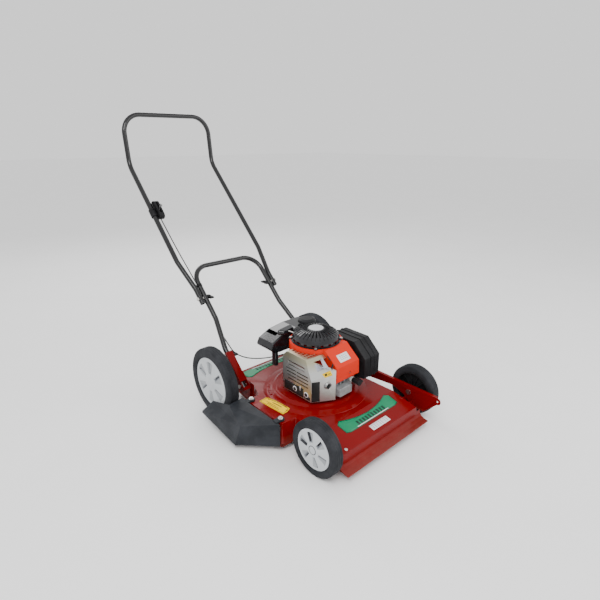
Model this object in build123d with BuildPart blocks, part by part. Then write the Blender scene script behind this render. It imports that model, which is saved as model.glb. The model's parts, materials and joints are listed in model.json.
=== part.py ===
from build123d import *
import os
from math import atan2, cos, degrees, radians, sin, tan

# Walk-behind rotary mower with a petrol engine and a side discharge chute.
# Millimetres. Origin on the ground below the crankshaft. -Y is the front, +X the mower's left, +Z up.

os.makedirs("parts", exist_ok=True)

# ---------------------------------------------------------------- driving dimensions
SHEET = 2.5                 # pressed steel thickness
FRONT_R, REAR_R = 100.0, 140.7
FRONT_Y, REAR_Y = -273.0, 263.0
TYRE_W = 44.0
FRONT_RIGHT_X, FRONT_LEFT_X = -258.0, 299.0     # wheel mid-planes
REAR_RIGHT_X, REAR_LEFT_X = -305.5, 245.0
AXLE_R = 6.0                # stub axle
AXLE_GAP = 0.06             # running clearance in the wheel's bore

RIM_Z = 22.0                # deck's lower rim above the ground
DECK_HALF = 214.0           # half width beside the front wheels
HOUSING_R = 236.0           # round blade housing
PORT_X, PORT_FRONT, PORT_REAR = -276.0, -116.0, 114.0   # discharge side of the housing
CREASE_Y, CREASE_Z = -336.0, 84.0       # upper edge of the front face
SLOPE = 13.1                # front panel's slope, degrees
DECK_FRONT, DECK_REAR = -350.0, 318.0
BODY_H = 86.0               # height of the deck's side wall
DRAFT = 6.0                 # lean of the side wall, degrees
PLATEAU_Z = 128.0           # where the engine stands
PLATEAU_R = 160.0

BLADE_R, BLADE_Z = 214.0, 56.0
SHAFT_R = 11.0

TUBE_R = 11.0               # handle tube
WALL = 1.6
HANDLE_ANGLE = 45.5         # handle above the horizontal, degrees
BOLT_Y, BOLT_Z = 511.0, 401.0           # handle joint
PIVOT_Y, PIVOT_Z = 216.0, 100.8         # handle foot
LOWER_X, FOOT_X, UPPER_X, GRIP_X = 178.0, 203.0, 202.0, 225.0
CROSS_Y, CROSS_Z = 619.0, 511.0
KINK_Y, KINK_Z = 650.0, 542.0
NECK_Y, NECK_Z = 1038.0, 938.0
GRIP_Y, GRIP_Z = 1062.0, 1165.0

CABLE_R = 2.5

ENGINE_BOLT_R, ENGINE_BOLT_TURN = 83.0, 20.0
CHUTE_SCREW_X = -255.0
CHUTE_SCREWS = (-84.0, 90.0)    # front and rear screw, along Y

SIDES = {"right": -1, "left": 1}
WHEELS = {
    "front_right": (FRONT_RIGHT_X, FRONT_Y, FRONT_R, -1),
    "front_left": (FRONT_LEFT_X, FRONT_Y, FRONT_R, 1),
    "rear_right": (REAR_RIGHT_X, REAR_Y, REAR_R, -1),
    "rear_left": (REAR_LEFT_X, REAR_Y, REAR_R, 1),
}

ALONG = (0, cos(radians(HANDLE_ANGLE)), sin(radians(HANDLE_ANGLE)))   # up the handle
ABOVE = (0, -sin(radians(HANDLE_ANGLE)), cos(radians(HANDLE_ANGLE)))  # square to it, forwards and up


def keep(part, name):
    """Label a finished piece and write it."""
    part.label = name
    export_step(part, f"parts/{name}.step")


def on_handle(distance, rise=0.0, x=0.0):
    """A point measured up the handle from the joint bolt, and square to it."""
    y = BOLT_Y + distance * ALONG[1] + rise * ABOVE[1]
    z = BOLT_Z + distance * ALONG[2] + rise * ABOVE[2]
    return (x, y, z)


def across(x, y, z, direction=1):
    """Work plane square to X at a point, facing along direction, with its second axis up."""
    return Plane(origin=(x, y, z), x_dir=(0, direction, 0), z_dir=(direction, 0, 0))


# ---------------------------------------------------------------- deck
def deck_plan(inset):
    """The deck's outline from above: front panel, round housing, discharge side and rear apron."""
    half, front, rear = DECK_HALF - inset, DECK_FRONT + inset, DECK_REAR - inset
    waist, tail = 186 - inset, 168 - inset
    with BuildSketch(Plane.XY.offset(RIM_Z)) as plan:
        with BuildLine():
            Polyline((-half, front), (half, front), (half, 112), (waist, 178), (tail, rear),
                     (-tail, rear), (-waist, 178), (-half, 112), close=True)
        make_face()
        Circle(HOUSING_R - inset)
        with Locations(((PORT_X + inset) / 2, (PORT_FRONT + PORT_REAR) / 2)):
            Rectangle(-PORT_X - inset, PORT_REAR - PORT_FRONT - 2 * inset)
        fillet([v for v in vertices() if v.Y > 170], radius=24)
        fillet([v for v in vertices() if v.X < PORT_X + inset + 1], radius=9)
    return plan.sketch


def deck_form(inset):
    """The deck's solid form, with its skin drawn in by inset."""
    front = DECK_FRONT + inset
    rise = (CREASE_Y + 150) * -tan(radians(SLOPE))
    with BuildPart() as form:
        add(deck_plan(inset))
        extrude(amount=BODY_H - inset, taper=DRAFT)
        with BuildSketch(Plane.YZ):
            with BuildLine():
                Polyline((front - 20, CREASE_Z - 4 - inset), (CREASE_Y, CREASE_Z - inset),
                         (-150, CREASE_Z + rise - inset), (-150, 180), (front - 20, 180), close=True)
            make_face()
        extrude(amount=DECK_HALF + 60, both=True, mode=Mode.SUBTRACT)
        # raised rings round the engine's plateau
        with BuildSketch(Plane.XZ):
            with BuildLine():
                Polyline((0, 70), (216 - inset, 70), (216 - inset, 98 - inset), (208 - inset, 110 - inset),
                         (196 - inset, 116 - inset), (182 - inset, 117 - inset), (173 - inset, 119 - inset),
                         (166 - inset, PLATEAU_Z - 2 - inset), (PLATEAU_R - inset, PLATEAU_Z - inset),
                         (0, PLATEAU_Z - inset), close=True)
            make_face()
        revolve(axis=Axis.Z)
    return form.part


with BuildPart() as deck_shell:
    add(deck_form(0))
    add(deck_form(SHEET), mode=Mode.SUBTRACT)
    # rolled rim all round
    extrude(deck_plan(-3), amount=3)
    extrude(deck_plan(2), amount=3, mode=Mode.SUBTRACT)
    # flared lip across the front
    with BuildSketch(Plane.YZ.offset(-226)):
        with BuildLine():
            Polyline((-343, 62), (-346.5, 48), (-353, 39), (-366, 33), (-382, 30.5), (-384, 27.5),
                     (-366, 30), (-352, 35.5), (-344, 44), close=True)
        make_face()
    extrude(amount=460)
    # discharge opening in the right wall
    with Locations((PORT_X, 0, 58)):
        Box(40, 196, 66, mode=Mode.SUBTRACT)
    # pilot hole and three bolt holes for the engine
    with Locations((0, 0, PLATEAU_Z)):
        Cylinder(48, 30, mode=Mode.SUBTRACT)
        with PolarLocations(ENGINE_BOLT_R, 3, start_angle=ENGINE_BOLT_TURN):
            Cylinder(4.4, 30, mode=Mode.SUBTRACT)
    # holes for the chute's screws
    for y in CHUTE_SCREWS:
        with Locations((CHUTE_SCREW_X, y, 100)):
            Cylinder(3.4, 40, mode=Mode.SUBTRACT)
    # pressed ribs between the engine and the rear bracket
    with BuildSketch(Plane.XY.offset(115)):
        with PolarLocations(188, 3, start_angle=140, angular_range=26):
            SlotOverall(26, 9, rotation=90)
    extrude(amount=4)
keep(deck_shell.part, "deck_shell")


LABEL_THICK = 0.5


def bow_label(end, middle, straight):
    """Bow-tie outline: one straight edge towards the deck's end, one hollow edge towards the engine."""
    corner = (130, end * (straight - 63))
    with BuildSketch(Plane.XY.offset(80)) as outline:
        with BuildLine():
            Polyline(corner, (148, end * (straight - 48)), (146, end * (straight - 6)), (128, end * straight),
                     (-128, end * straight), (-146, end * (straight - 6)), (-148, end * (straight - 48)),
                     (-corner[0], corner[1]))
            ThreePointArc((-corner[0], corner[1]), (0, end * (straight - 37)), corner)
        make_face()
    return outline.sketch.moved(Location((middle, 0, 0)))


def label_outlines():
    """The four labels' outlines, carried straight up through the deck's top."""
    with BuildPart() as outlines:
        extrude(bow_label(-1, 20, 291), amount=100)
        extrude(bow_label(1, -12, 296), amount=100)
        with BuildSketch(Plane.XY.offset(80)):
            with Locations(Location((-212, 3), 94.5)):
                Rectangle(128, 36)
            with Locations((17, -317)):
                Rectangle(97, 24)
        extrude(amount=100)
    return outlines.part


with BuildPart() as deck_labels:
    add(deck_form(-0.2 - LABEL_THICK))
    add(deck_form(-0.2), mode=Mode.SUBTRACT)
    add(label_outlines(), mode=Mode.INTERSECT)
keep(deck_labels.part, "deck_labels")


# ---------------------------------------------------------------- running gear
with BuildPart() as left_side_rail:
    # standing web: an eye in front, a gusset at the front wheel, a bar that runs back beside the engine
    with BuildSketch(across(256, 0, 0)):
        with BuildLine():
            Polyline((-401, 124), (-401, 98), (-345, 42), (-292, 42), (-250, 80), (-197, 98), (-71, 88),
                     (112, 84), (112, 127), (-401, 127), close=True)
        make_face()
        with Locations((-401, 112)):
            Circle(14)
        with Locations((-401, 112)):
            Circle(4.2, mode=Mode.SUBTRACT)
        with Locations((FRONT_Y, FRONT_R)):
            Circle(AXLE_R + 0.4, mode=Mode.SUBTRACT)
    extrude(amount=3)
    # folded top flange
    with BuildSketch(Plane.XY.offset(124)):
        with Locations((263, -143)):
            Rectangle(14, 504)
    extrude(amount=3)
    # tab that rests on the deck's edge behind the engine
    with BuildSketch(Plane.XY.offset(108.4)):
        with Locations((230, 93)):
            Rectangle(58, 26)
    extrude(amount=3)
    # two arms that reach in to the deck's wall
    with BuildSketch(Plane.XY.offset(52)):
        with Locations((235, -300), (235, -262)):
            Rectangle(45, 3)
    extrude(amount=24)
    # bolted foot against the deck's wall
    with Locations((213.5, -281, 64)):
        Box(3, 60, 24)
keep(left_side_rail.part, "left_side_rail")

with BuildPart() as front_wheel_bracket:
    with BuildSketch(across(-233.5, FRONT_Y, 0)):
        with Locations((0, 88)):
            RectangleRounded(64, 76, 10)
        with Locations((0, FRONT_R)):
            Circle(AXLE_R + 0.4, mode=Mode.SUBTRACT)
    extrude(amount=3)
    # foot that turns in to the deck's wall
    with Locations((-221.9, FRONT_Y, 58)):
        Box(18, 50, 12)
keep(front_wheel_bracket.part, "front_wheel_bracket")


def handle_bracket(side, boss):
    """Red channel round the handle's foot, on a plate that is bolted to the deck's flank."""
    x = side * FOOT_X
    with BuildPart() as bracket:
        plane = Plane(origin=(x, PIVOT_Y, PIVOT_Z), x_dir=(1, 0, 0), z_dir=ALONG)
        with BuildSketch(plane.offset(-26)):
            with Locations((0, -2)):
                Rectangle(32, 34)
            with Locations((0, 2)):
                Rectangle(26, 36, mode=Mode.SUBTRACT)
        extrude(amount=176)
        # window in which the handle's heel swings
        with BuildSketch(plane.offset(-13)):
            with Locations((0, -18)):
                Rectangle(26, 8)
        extrude(amount=26, mode=Mode.SUBTRACT)
        # plate that stands against the deck's flank
        with BuildSketch(across(x - side * 16, 0, 0, side)):
            with BuildLine():
                mirror_y = side
                Polyline((mirror_y * 188, 48), (mirror_y * 240, 48), (mirror_y * 252, 110),
                         (mirror_y * 234, 150), (mirror_y * 188, 104), close=True)
            make_face()
        extrude(amount=3)
        # foot that turns in to the flank
        with Locations((x - side * 17, 214, 56)):
            Box(10, 48, 16)
        # boss for the wheel's stub axle
        with BuildSketch(across(x + side * 15.5, REAR_Y, REAR_R, side)):
            Circle(15)
        extrude(amount=boss)
        with Locations(Location((x + side * 24, REAR_Y, REAR_R), (0, 90, 0))):
            Cylinder(AXLE_R, 40, mode=Mode.SUBTRACT)
        # pivot hole and knob hole through both walls
        for distance in (0, 142):
            y = PIVOT_Y + distance * ALONG[1]
            z = PIVOT_Z + distance * ALONG[2]
            with Locations(Location((x, y, z), (0, 90, 0))):
                Cylinder(4.2, 60, mode=Mode.SUBTRACT)
    return bracket.part


for side_name, boss in (("right", 18), ("left", 1)):
    keep(handle_bracket(SIDES[side_name], boss), f"handle_bracket_{side_name}")


def stub_axle(x_in, x_collar, x_out, y, z, side):
    """Shoulder stub: a collar against its bracket, a smooth seat and a reduced thread."""
    with BuildPart() as stub:
        with BuildSketch(across(x_in, y, z, side)):
            Circle(AXLE_R)
        extrude(amount=abs(x_out - x_in))
        with BuildSketch(across(x_collar, y, z, side)):
            Circle(11)
        extrude(amount=4)
        with BuildSketch(across(x_out, y, z, side)):
            Circle(4)
        extrude(amount=9)
    return stub.part


HUB_FACE = 14.0     # outer end of the wheel's bore from its mid-plane
STUB_ENDS = {       # inner end, and inner face of the collar
    "front_right": (-226.4, -226.4),
    "front_left": (251.9, 251.9),
    "rear_right": (-220.5, -236.7),
    "rear_left": (216.2, 219.7),
}
with BuildPart() as stub_axles:
    for name, (x, y, r, side) in WHEELS.items():
        add(stub_axle(*STUB_ENDS[name], x + side * HUB_FACE, y, r, side))
keep(stub_axles.part, "stub_axles")

with BuildPart() as wheel_nuts:
    for name, (x, y, r, side) in WHEELS.items():
        with BuildSketch(across(x + side * (HUB_FACE + 0.4), y, r, side)):
            Circle(12)
            Circle(4, mode=Mode.SUBTRACT)
        extrude(amount=1.5)
        with BuildSketch(across(x + side * (HUB_FACE + 1.9), y, r, side)):
            RegularPolygon(7.2, 6)
            Circle(4, mode=Mode.SUBTRACT)
        extrude(amount=6)
keep(wheel_nuts.part, "wheel_nuts")


def wheel_plane(x, y, r, side):
    """Profile plane through the wheel's axis: first axis outwards, second axis radial."""
    return Plane(origin=(x, y, r), x_dir=(side, 0, 0), z_dir=(0, -side, 0))


def wheel(x, y, r, side):
    """Moulded wheel: tyre, dished web and bored hub, as half a section turned about its axle."""
    half, band = TYRE_W / 2, 0.26 * r
    plane = wheel_plane(x, y, r, side)
    with BuildPart() as body:
        with BuildSketch(plane):
            with BuildLine():
                Polyline((-half, r - band), (-half, r - 5), (-half + 5, r), (half - 5, r), (half, r - 5),
                         (half, r - band), (half - 7, r - band - 1), (half - 9, r - band - 4),
                         (4, r - band - 6), (4, 20), (HUB_FACE, 16), (HUB_FACE, AXLE_R + AXLE_GAP),
                         (-half + 1, AXLE_R + AXLE_GAP), (-half + 1, 16), (-2, 20), (-2, r - band - 8),
                         (-half + 8, r - band - 6), close=True)
            make_face()
        revolve(axis=Axis(origin=(x, y, r), direction=(1, 0, 0)))
        fillet(body.edges().filter_by(GeomType.CIRCLE).group_by(SortBy.RADIUS)[-1], radius=3.5)
    return body.part


def wheel_cover(x, y, r, side):
    """Light disc that snaps into the wheel: six broad spokes between pressed recesses."""
    half, edge = TYRE_W / 2, 0.74 * r - 1.6
    plane = wheel_plane(x, y, r, side)
    with BuildPart() as cover:
        with BuildSketch(plane):
            with BuildLine():
                Polyline((half - 5.5, edge), (half - 3, edge), (half - 1.5, edge - 4), (half - 4, edge - 9),
                         (half + 3, 0.3 * r), (half + 4, 0.22 * r), (half + 4, 0), (half + 1.6, 0),
                         (half + 1.6, 0.2 * r), (half + 0.6, 0.28 * r), (half - 6.4, edge - 9), close=True)
            make_face()
        revolve(axis=Axis(origin=(x, y, r), direction=(1, 0, 0)))
        face = across(x + side * (half - 2), y, r, side)
        with BuildSketch(face):
            with PolarLocations(0.46 * r, 6, start_angle=-4 * side):
                SlotOverall(0.26 * r, 0.07 * r)
        extrude(amount=20, mode=Mode.SUBTRACT)
    return cover.part


for name, (x, y, r, side) in WHEELS.items():
    keep(wheel(x, y, r, side), f"wheel_{name}")
    keep(wheel_cover(x, y, r, side), f"wheel_cover_{name}")


# ---------------------------------------------------------------- discharge chute
CHUTE_WALL = 3.0
CHUTE_MOUTH, CHUTE_RIDGE, CHUTE_EDGE = -279.5, -376.0, -392.0
WHEEL_SIDE, WING_REAR = -336.0, 228.0


def faceted(faces):
    """Solid inside a closed set of flat faces, each given by its corners."""
    return Solid(Shell([Face(Wire.make_polygon(corners, close=True)) for corners in faces]))


def chute_main(inset):
    """Deflector between the deck and the ridge: flat front, top that falls to the front and outwards."""
    mouth = CHUTE_MOUTH + 3 * inset
    low = 20 - 12 * inset
    rear = 116 - inset
    shift = 1.35 * inset
    a, a0 = (mouth, -109 + inset, 112 - inset), (mouth, -109 + inset, low)
    b, b0 = (mouth, rear, 118 - inset), (mouth, rear, low)
    c, c0 = (CHUTE_RIDGE + shift, -7 + shift, 98 - inset), (CHUTE_RIDGE + shift, -7 + shift, low)
    d, d0 = (WHEEL_SIDE - 4 + inset, rear, 114 - inset), (WHEEL_SIDE - 4 + inset, rear, low)
    return faceted([(a, a0, c0, c), (a, b, b0, a0), (a, c, d), (a, d, b), (b, d, d0, b0),
                    (c, c0, d0, d), (a0, b0, d0), (a0, d0, c0)])


def chute_wing(inset):
    """Outer panel that falls from the ridge to the long lower edge, and runs back past the wheel."""
    low = 20 - 12 * inset
    rear = WING_REAR + 6 * inset
    edge = CHUTE_EDGE + 1.2 * inset
    drop = 1.3 * inset
    side = WHEEL_SIDE - 4 + 3 * inset
    c, c0 = (CHUTE_RIDGE, -7 + 1.3 * inset, 98 - drop), (CHUTE_RIDGE, -7 + 1.3 * inset, low)
    f, f0 = (edge, 8 + 1.3 * inset, 22 - drop), (edge, 8 + 1.3 * inset, low - 2)
    d, d0 = (side, 116, 114 - drop), (side, 116, low)
    e, e0 = (side, rear, 80 - drop), (side, rear, 48 + low - 20)
    g, g0 = (edge, rear, 56 - drop), (edge, rear, 48 + low - 20)
    return faceted([(c, c0, f0, f), (c, f, g), (c, g, e), (c, e, d), (f, f0, g0, g), (g, g0, e0, e),
                    (d, e, e0, d0), (c, d, d0, c0), (c0, d0, f0), (f0, d0, g0), (g0, d0, e0)])


with BuildPart() as discharge_chute:
    add(chute_main(0))
    add(chute_wing(0))
    add(chute_main(CHUTE_WALL), mode=Mode.SUBTRACT)
    add(chute_wing(CHUTE_WALL), mode=Mode.SUBTRACT)
    # two bosses that stand on the deck's edge
    for y in CHUTE_SCREWS:
        with BuildSketch(Plane.XY.offset(108.4)):
            with Locations((CHUTE_SCREW_X, y)):
                Circle(14)
            with Locations((CHUTE_SCREW_X - 14, y)):
                Rectangle(28, 22)
            with Locations((CHUTE_SCREW_X, y)):
                Circle(3.4, mode=Mode.SUBTRACT)
        extrude(amount=7)
keep(discharge_chute.part, "discharge_chute")

with BuildPart() as chute_screws:
    for y in CHUTE_SCREWS:
        with BuildSketch(Plane.XY.offset(115.6)):
            with Locations((CHUTE_SCREW_X, y)):
                Circle(9)
        extrude(amount=1.5)
        with BuildSketch(Plane.XY.offset(117.1)):
            with Locations((CHUTE_SCREW_X, y)):
                RegularPolygon(6.5, 6)
        extrude(amount=4.5)
        with BuildSketch(Plane.XY.offset(115.6)):
            with Locations((CHUTE_SCREW_X, y)):
                Circle(3)
        extrude(amount=-20)
keep(chute_screws.part, "chute_screws")


# ---------------------------------------------------------------- engine
BORE_Z = 196.0              # cylinder's axis
BORE_R = 28.0
PLUG_X, PLUG_Z = 42.0, 191.0

OIL_NECK = Vector(-38, 58, 190)
OIL_AXIS = Vector(-0.6, 0.75, 0.35).normalized()
CABLE_END_Z = 193.0

with BuildPart() as engine_block:
    # round mounting flange
    with BuildSketch(Plane.XY.offset(PLATEAU_Z + 0.3)):
        Circle(92)
        with PolarLocations(ENGINE_BOLT_R, 3, start_angle=ENGINE_BOLT_TURN):
            Circle(4.2, mode=Mode.SUBTRACT)
    extrude(amount=10)
    # pilot that drops into the deck
    with BuildSketch(Plane.XY.offset(PLATEAU_Z - 10)):
        Circle(47)
    extrude(amount=12)
    # crankcase
    with BuildSketch(Plane.XY.offset(PLATEAU_Z + 9)):
        with Locations((0, 12)):
            RectangleRounded(110, 128, 26)
    extrude(amount=116)
    # crank chamber, open towards the cylinder
    with Locations((0, 12, BORE_Z)):
        Box(100, 100, 92, mode=Mode.SUBTRACT)
    with Locations(Location((0, -52, BORE_Z), (90, 0, 0))):
        Cylinder(BORE_R + 4, 30, mode=Mode.SUBTRACT)
    # main bearings
    with Locations((0, 0, BORE_Z)):
        Cylinder(SHAFT_R + 0.05, 300, mode=Mode.SUBTRACT)
    # oil filler neck
    with BuildSketch(Plane(origin=OIL_NECK, z_dir=OIL_AXIS)):
        Circle(12)
    extrude(amount=44)
    with BuildSketch(Plane(origin=OIL_NECK, z_dir=OIL_AXIS)):
        Circle(9)
    extrude(amount=50, mode=Mode.SUBTRACT)
    # post that holds the end of the control cable
    with Locations((8, 102, CABLE_END_Z)):
        Box(14, 56, 12)
keep(engine_block.part, "engine_block")

with BuildPart() as cylinder_barrel:
    with BuildSketch(Plane.XZ.offset(52.4)):
        with Locations((0, BORE_Z)):
            Circle(BORE_R + 8)
    extrude(amount=82)
    # cooling fins
    for step in range(9):
        with BuildSketch(Plane.XZ.offset(58 + 8.2 * step)):
            with Locations((4, BORE_Z)):
                RectangleRounded(104, 96, 12)
        extrude(amount=2.6)
    with Locations(Location((0, -90, BORE_Z), (90, 0, 0))):
        Cylinder(BORE_R, 120, mode=Mode.SUBTRACT)
keep(cylinder_barrel.part, "cylinder_barrel")

with BuildPart() as cylinder_head:
    with BuildSketch(Plane.XZ.offset(134.7)):
        with Locations((4, BORE_Z - 4)):
            RectangleRounded(100, 92, 12)
    extrude(amount=9)
    # finned crown and rocker housing
    for step in range(4):
        with BuildSketch(Plane.XZ.offset(143.7)):
            with Locations((-38 + 20 * step, BORE_Z + 4)):
                Rectangle(3, 60)
        extrude(amount=9)
    with BuildSketch(Plane.XZ.offset(143.5)):
        with Locations((-9, BORE_Z - 28)):
            RectangleRounded(74, 40, 9)
    extrude(amount=30, taper=6)
    fillet(cylinder_head.faces().sort_by(Axis.Y)[0].edges(), radius=3)
    # spark plug thread
    with Locations(Location((PLUG_X, -150, PLUG_Z), (90, 0, 0))):
        Cylinder(7.05, 60, mode=Mode.SUBTRACT)
keep(cylinder_head.part, "cylinder_head")

with BuildPart() as spark_plug:
    for y_front, length, radius in ((-137, 16, 7), (-153, 8, 10.2), (-161, 12, 6), (-173, 12, 4)):
        with BuildSketch(Plane.XZ.offset(-y_front)):
            with Locations((PLUG_X, PLUG_Z)):
                Circle(radius)
        extrude(amount=length)
keep(spark_plug.part, "spark_plug")

with BuildPart() as plug_cap:
    with BuildSketch(Plane.XZ.offset(162.4)):
        with Locations((PLUG_X, PLUG_Z)):
            Circle(10)
            Circle(6.1, mode=Mode.SUBTRACT)
    extrude(amount=26)
    with BuildSketch(Plane.XZ.offset(187)):
        with Locations((PLUG_X, PLUG_Z)):
            Circle(11.5)
    extrude(amount=10)
    # lead that runs back under the shroud
    with BuildLine() as lead:
        FilletPolyline((PLUG_X + 6, -192, PLUG_Z), (PLUG_X + 22, -192, PLUG_Z - 4),
                       (PLUG_X + 27, -172, PLUG_Z - 6), (PLUG_X + 26, -148, PLUG_Z - 2), radius=(9, 9))
    with BuildSketch(Plane(origin=lead.line @ 0, z_dir=lead.line % 0)):
        Circle(3.5)
    sweep(path=lead.line)
keep(plug_cap.part, "plug_cap")

with BuildPart() as piston:
    # crown at top dead centre, skirt open towards the crank
    with BuildSketch(Plane.XZ.offset(78)):
        with Locations((0, BORE_Z)):
            Circle(BORE_R - 0.06)
    extrude(amount=50)
    with BuildSketch(Plane.XZ.offset(78)):
        with Locations((0, BORE_Z)):
            Circle(BORE_R - 5)
    extrude(amount=40, mode=Mode.SUBTRACT)
    # ring grooves
    for groove in (112, 117, 122):
        with BuildSketch(Plane.XZ.offset(groove)):
            with Locations((0, BORE_Z)):
                Circle(BORE_R + 1)
                Circle(BORE_R - 2, mode=Mode.SUBTRACT)
        extrude(amount=1.6, mode=Mode.SUBTRACT)
    # gudgeon pin across the skirt
    with Locations(Location((0, -96, BORE_Z), (0, 90, 0))):
        Cylinder(6, 2 * BORE_R - 6)
keep(piston.part, "piston")

with BuildPart() as crankshaft:
    for bottom, top, radius in ((64.3, 118, 10), (118, 320, SHAFT_R)):
        with BuildSketch(Plane.XY.offset(bottom)):
            Circle(radius)
        extrude(amount=top - bottom)
    # counterweight webs
    for bottom in (164, 214):
        with BuildSketch(Plane.XY.offset(bottom)):
            with Locations((0, 4)):
                SlotOverall(62, 40, rotation=90)
        extrude(amount=12)
    # bore for the blade bolt
    with Locations((0, 0, 70)):
        Cylinder(4.9, 40, mode=Mode.SUBTRACT)
keep(crankshaft.part, "crankshaft")

with BuildPart() as flywheel:
    with BuildSketch(Plane.XY.offset(276)):
        Circle(80)
    extrude(amount=8)
    with BuildSketch(Plane.XY.offset(262)):
        Circle(24)
    extrude(amount=30)
    # cooling fan blades
    with BuildSketch(Plane.XY.offset(284)):
        with PolarLocations(60, 16):
            Rectangle(34, 2.4, rotation=24)
    extrude(amount=18)
    with Locations((0, 0, 280)):
        Cylinder(SHAFT_R, 60, mode=Mode.SUBTRACT)
keep(flywheel.part, "flywheel")

with BuildPart() as blade_adapter:
    with BuildSketch(Plane.XY.offset(64)):
        Circle(19)
        Circle(10.02, mode=Mode.SUBTRACT)
    extrude(amount=34)
    with BuildSketch(Plane.XY.offset(BLADE_Z + 2)):
        Rectangle(64, 46)
        Circle(5, mode=Mode.SUBTRACT)
    extrude(amount=6)
keep(blade_adapter.part, "blade_adapter")

with BuildPart() as blade:
    with BuildSketch(Plane.XY.offset(BLADE_Z - 2)):
        SlotOverall(2 * BLADE_R, 54)
        Circle(5, mode=Mode.SUBTRACT)
    extrude(amount=4)
    # square the slot's round ends and sharpen the leading edges
    for turn in (0, 180):
        with Locations(Location((0, 0, BLADE_Z), (0, 0, turn))):
            with Locations((BLADE_R - 44, 24, 3.2)):
                Box(80, 14, 6, rotation=(24, 0, 0), mode=Mode.SUBTRACT)
            with Locations((BLADE_R - 40, -21, 6)):
                Box(62, 3, 14, rotation=(-28, 0, 0))
keep(blade.part, "blade")

with BuildPart() as blade_bolt:
    with BuildSketch(Plane.XY.offset(BLADE_Z - 2.1)):
        Circle(15)
    extrude(amount=-2.5)
    with BuildSketch(Plane.XY.offset(BLADE_Z - 4.6)):
        RegularPolygon(8.6, 6)
    extrude(amount=-7)
    with BuildSketch(Plane.XY.offset(BLADE_Z - 2.1)):
        Circle(4.8)
    extrude(amount=36)
keep(blade_bolt.part, "blade_bolt")

STARTER_R = 92.0

# cowl over the fan and the cylinder
SHROUD_TOP = 320.0
SHROUD_RIGHT, SHROUD_LEFT = -51.0, 70.0


def cowl(inset):
    """Round housing over the flywheel, with a hood that slopes down over the cylinder."""
    below = 60 if inset else 0
    with BuildPart() as form:
        with BuildSketch(Plane.XY.offset(252 - below)):
            Circle(104 - inset)
        extrude(amount=SHROUD_TOP - 252 + below - inset)
        with BuildSketch(Plane.YZ.offset(SHROUD_RIGHT + inset)):
            with BuildLine():
                Polyline((-20, 206 - below), (-161 + inset, 206 - below), (-166 + inset, 214),
                         (-163 + inset, 268 - inset / 2), (-100, SHROUD_TOP - inset),
                         (-20, SHROUD_TOP - inset), close=True)
            make_face()
        extrude(amount=SHROUD_LEFT - SHROUD_RIGHT - 2 * inset)
    return form.part


with BuildPart() as blower_shroud:
    add(cowl(0))
    add(cowl(2), mode=Mode.SUBTRACT)
    # air inlet under the starter
    with Locations((0, 0, SHROUD_TOP)):
        Cylinder(70, 20, mode=Mode.SUBTRACT)
    # notches for the exhaust port and the carburettor, and holes for the starter's screws
    with Locations((SHROUD_RIGHT, -88, 206)):
        Box(10, 34, 16, mode=Mode.SUBTRACT)
    with Locations((SHROUD_LEFT, -108, 224)):
        Box(10, 46, 60, mode=Mode.SUBTRACT)
    with Locations((0, 0, SHROUD_TOP)):
        with PolarLocations(STARTER_R + 6.5, 4, start_angle=45):
            Cylinder(2.6, 12, mode=Mode.SUBTRACT)
    # inspection hole in the front
    with Locations(Location((20, -164, 230), (90, 0, 0))):
        Cylinder(4.5, 20, mode=Mode.SUBTRACT)
keep(blower_shroud.part, "blower_shroud")

# recoil starter
PULLEY_R = 32.0
ROPE_TURN = 99.6            # the rope leaves to the rear, degrees from +X
ROPE_DIR = (cos(radians(ROPE_TURN)), sin(radians(ROPE_TURN)), 0)
ROPE_Z = 336.0
ROPE_REACH = 108.0          # from the pulley to the grip


def rope_point(distance):
    """A point on the rope's line, measured from where it leaves the pulley."""
    x = -(PULLEY_R + 2.5) * ROPE_DIR[1] + distance * ROPE_DIR[0]
    y = (PULLEY_R + 2.5) * ROPE_DIR[0] + distance * ROPE_DIR[1]
    return (x, y, ROPE_Z)


with BuildPart() as starter_cover:
    with BuildSketch(Plane.XZ):
        with BuildLine():
            Polyline((30, 366), (58, 362), (80, 352), (88, 345), (STARTER_R, 334), (STARTER_R, 321.4),
                     (STARTER_R + 6, 321.4), (STARTER_R + 6, 320.3), (STARTER_R - 2.6, 320.3),
                     (STARTER_R - 2.6, 333.2), (85.8, 342.8), (78.4, 349.6), (57, 359.3), (30, 363.2),
                     (0, 363.2), (0, 366), close=True)
        make_face()
    revolve(axis=Axis.Z)
    # radial vents round the badge
    with BuildSketch(Plane.XY.offset(370)):
        with PolarLocations(56, 30):
            SlotOverall(36, 4.2)
    extrude(amount=-22, mode=Mode.SUBTRACT)
    # vents round the skirt
    with BuildSketch(Plane.XY.offset(323.5)):
        with PolarLocations(STARTER_R, 18):
            Rectangle(14, 12)
    extrude(amount=9, mode=Mode.SUBTRACT)
    # screw ears
    with BuildSketch(Plane.XY.offset(320.3)):
        with PolarLocations(STARTER_R + 6.5, 4, start_angle=45):
            Circle(8)
    extrude(amount=3)
    with BuildSketch(Plane.XY.offset(312)):
        with PolarLocations(STARTER_R + 6.5, 4, start_angle=45):
            Circle(2.6)
    extrude(amount=20, mode=Mode.SUBTRACT)
    # eyelet for the rope in the rear of the skirt
    with BuildSketch(Plane(origin=rope_point(70), z_dir=ROPE_DIR)):
        Circle(4)
    extrude(amount=30, mode=Mode.SUBTRACT)
keep(starter_cover.part, "starter_cover")

with BuildPart() as starter_badge:
    with BuildSketch(Plane.XY.offset(366)):
        Circle(29)
    extrude(amount=1.2)
keep(starter_badge.part, "starter_badge")

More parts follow.
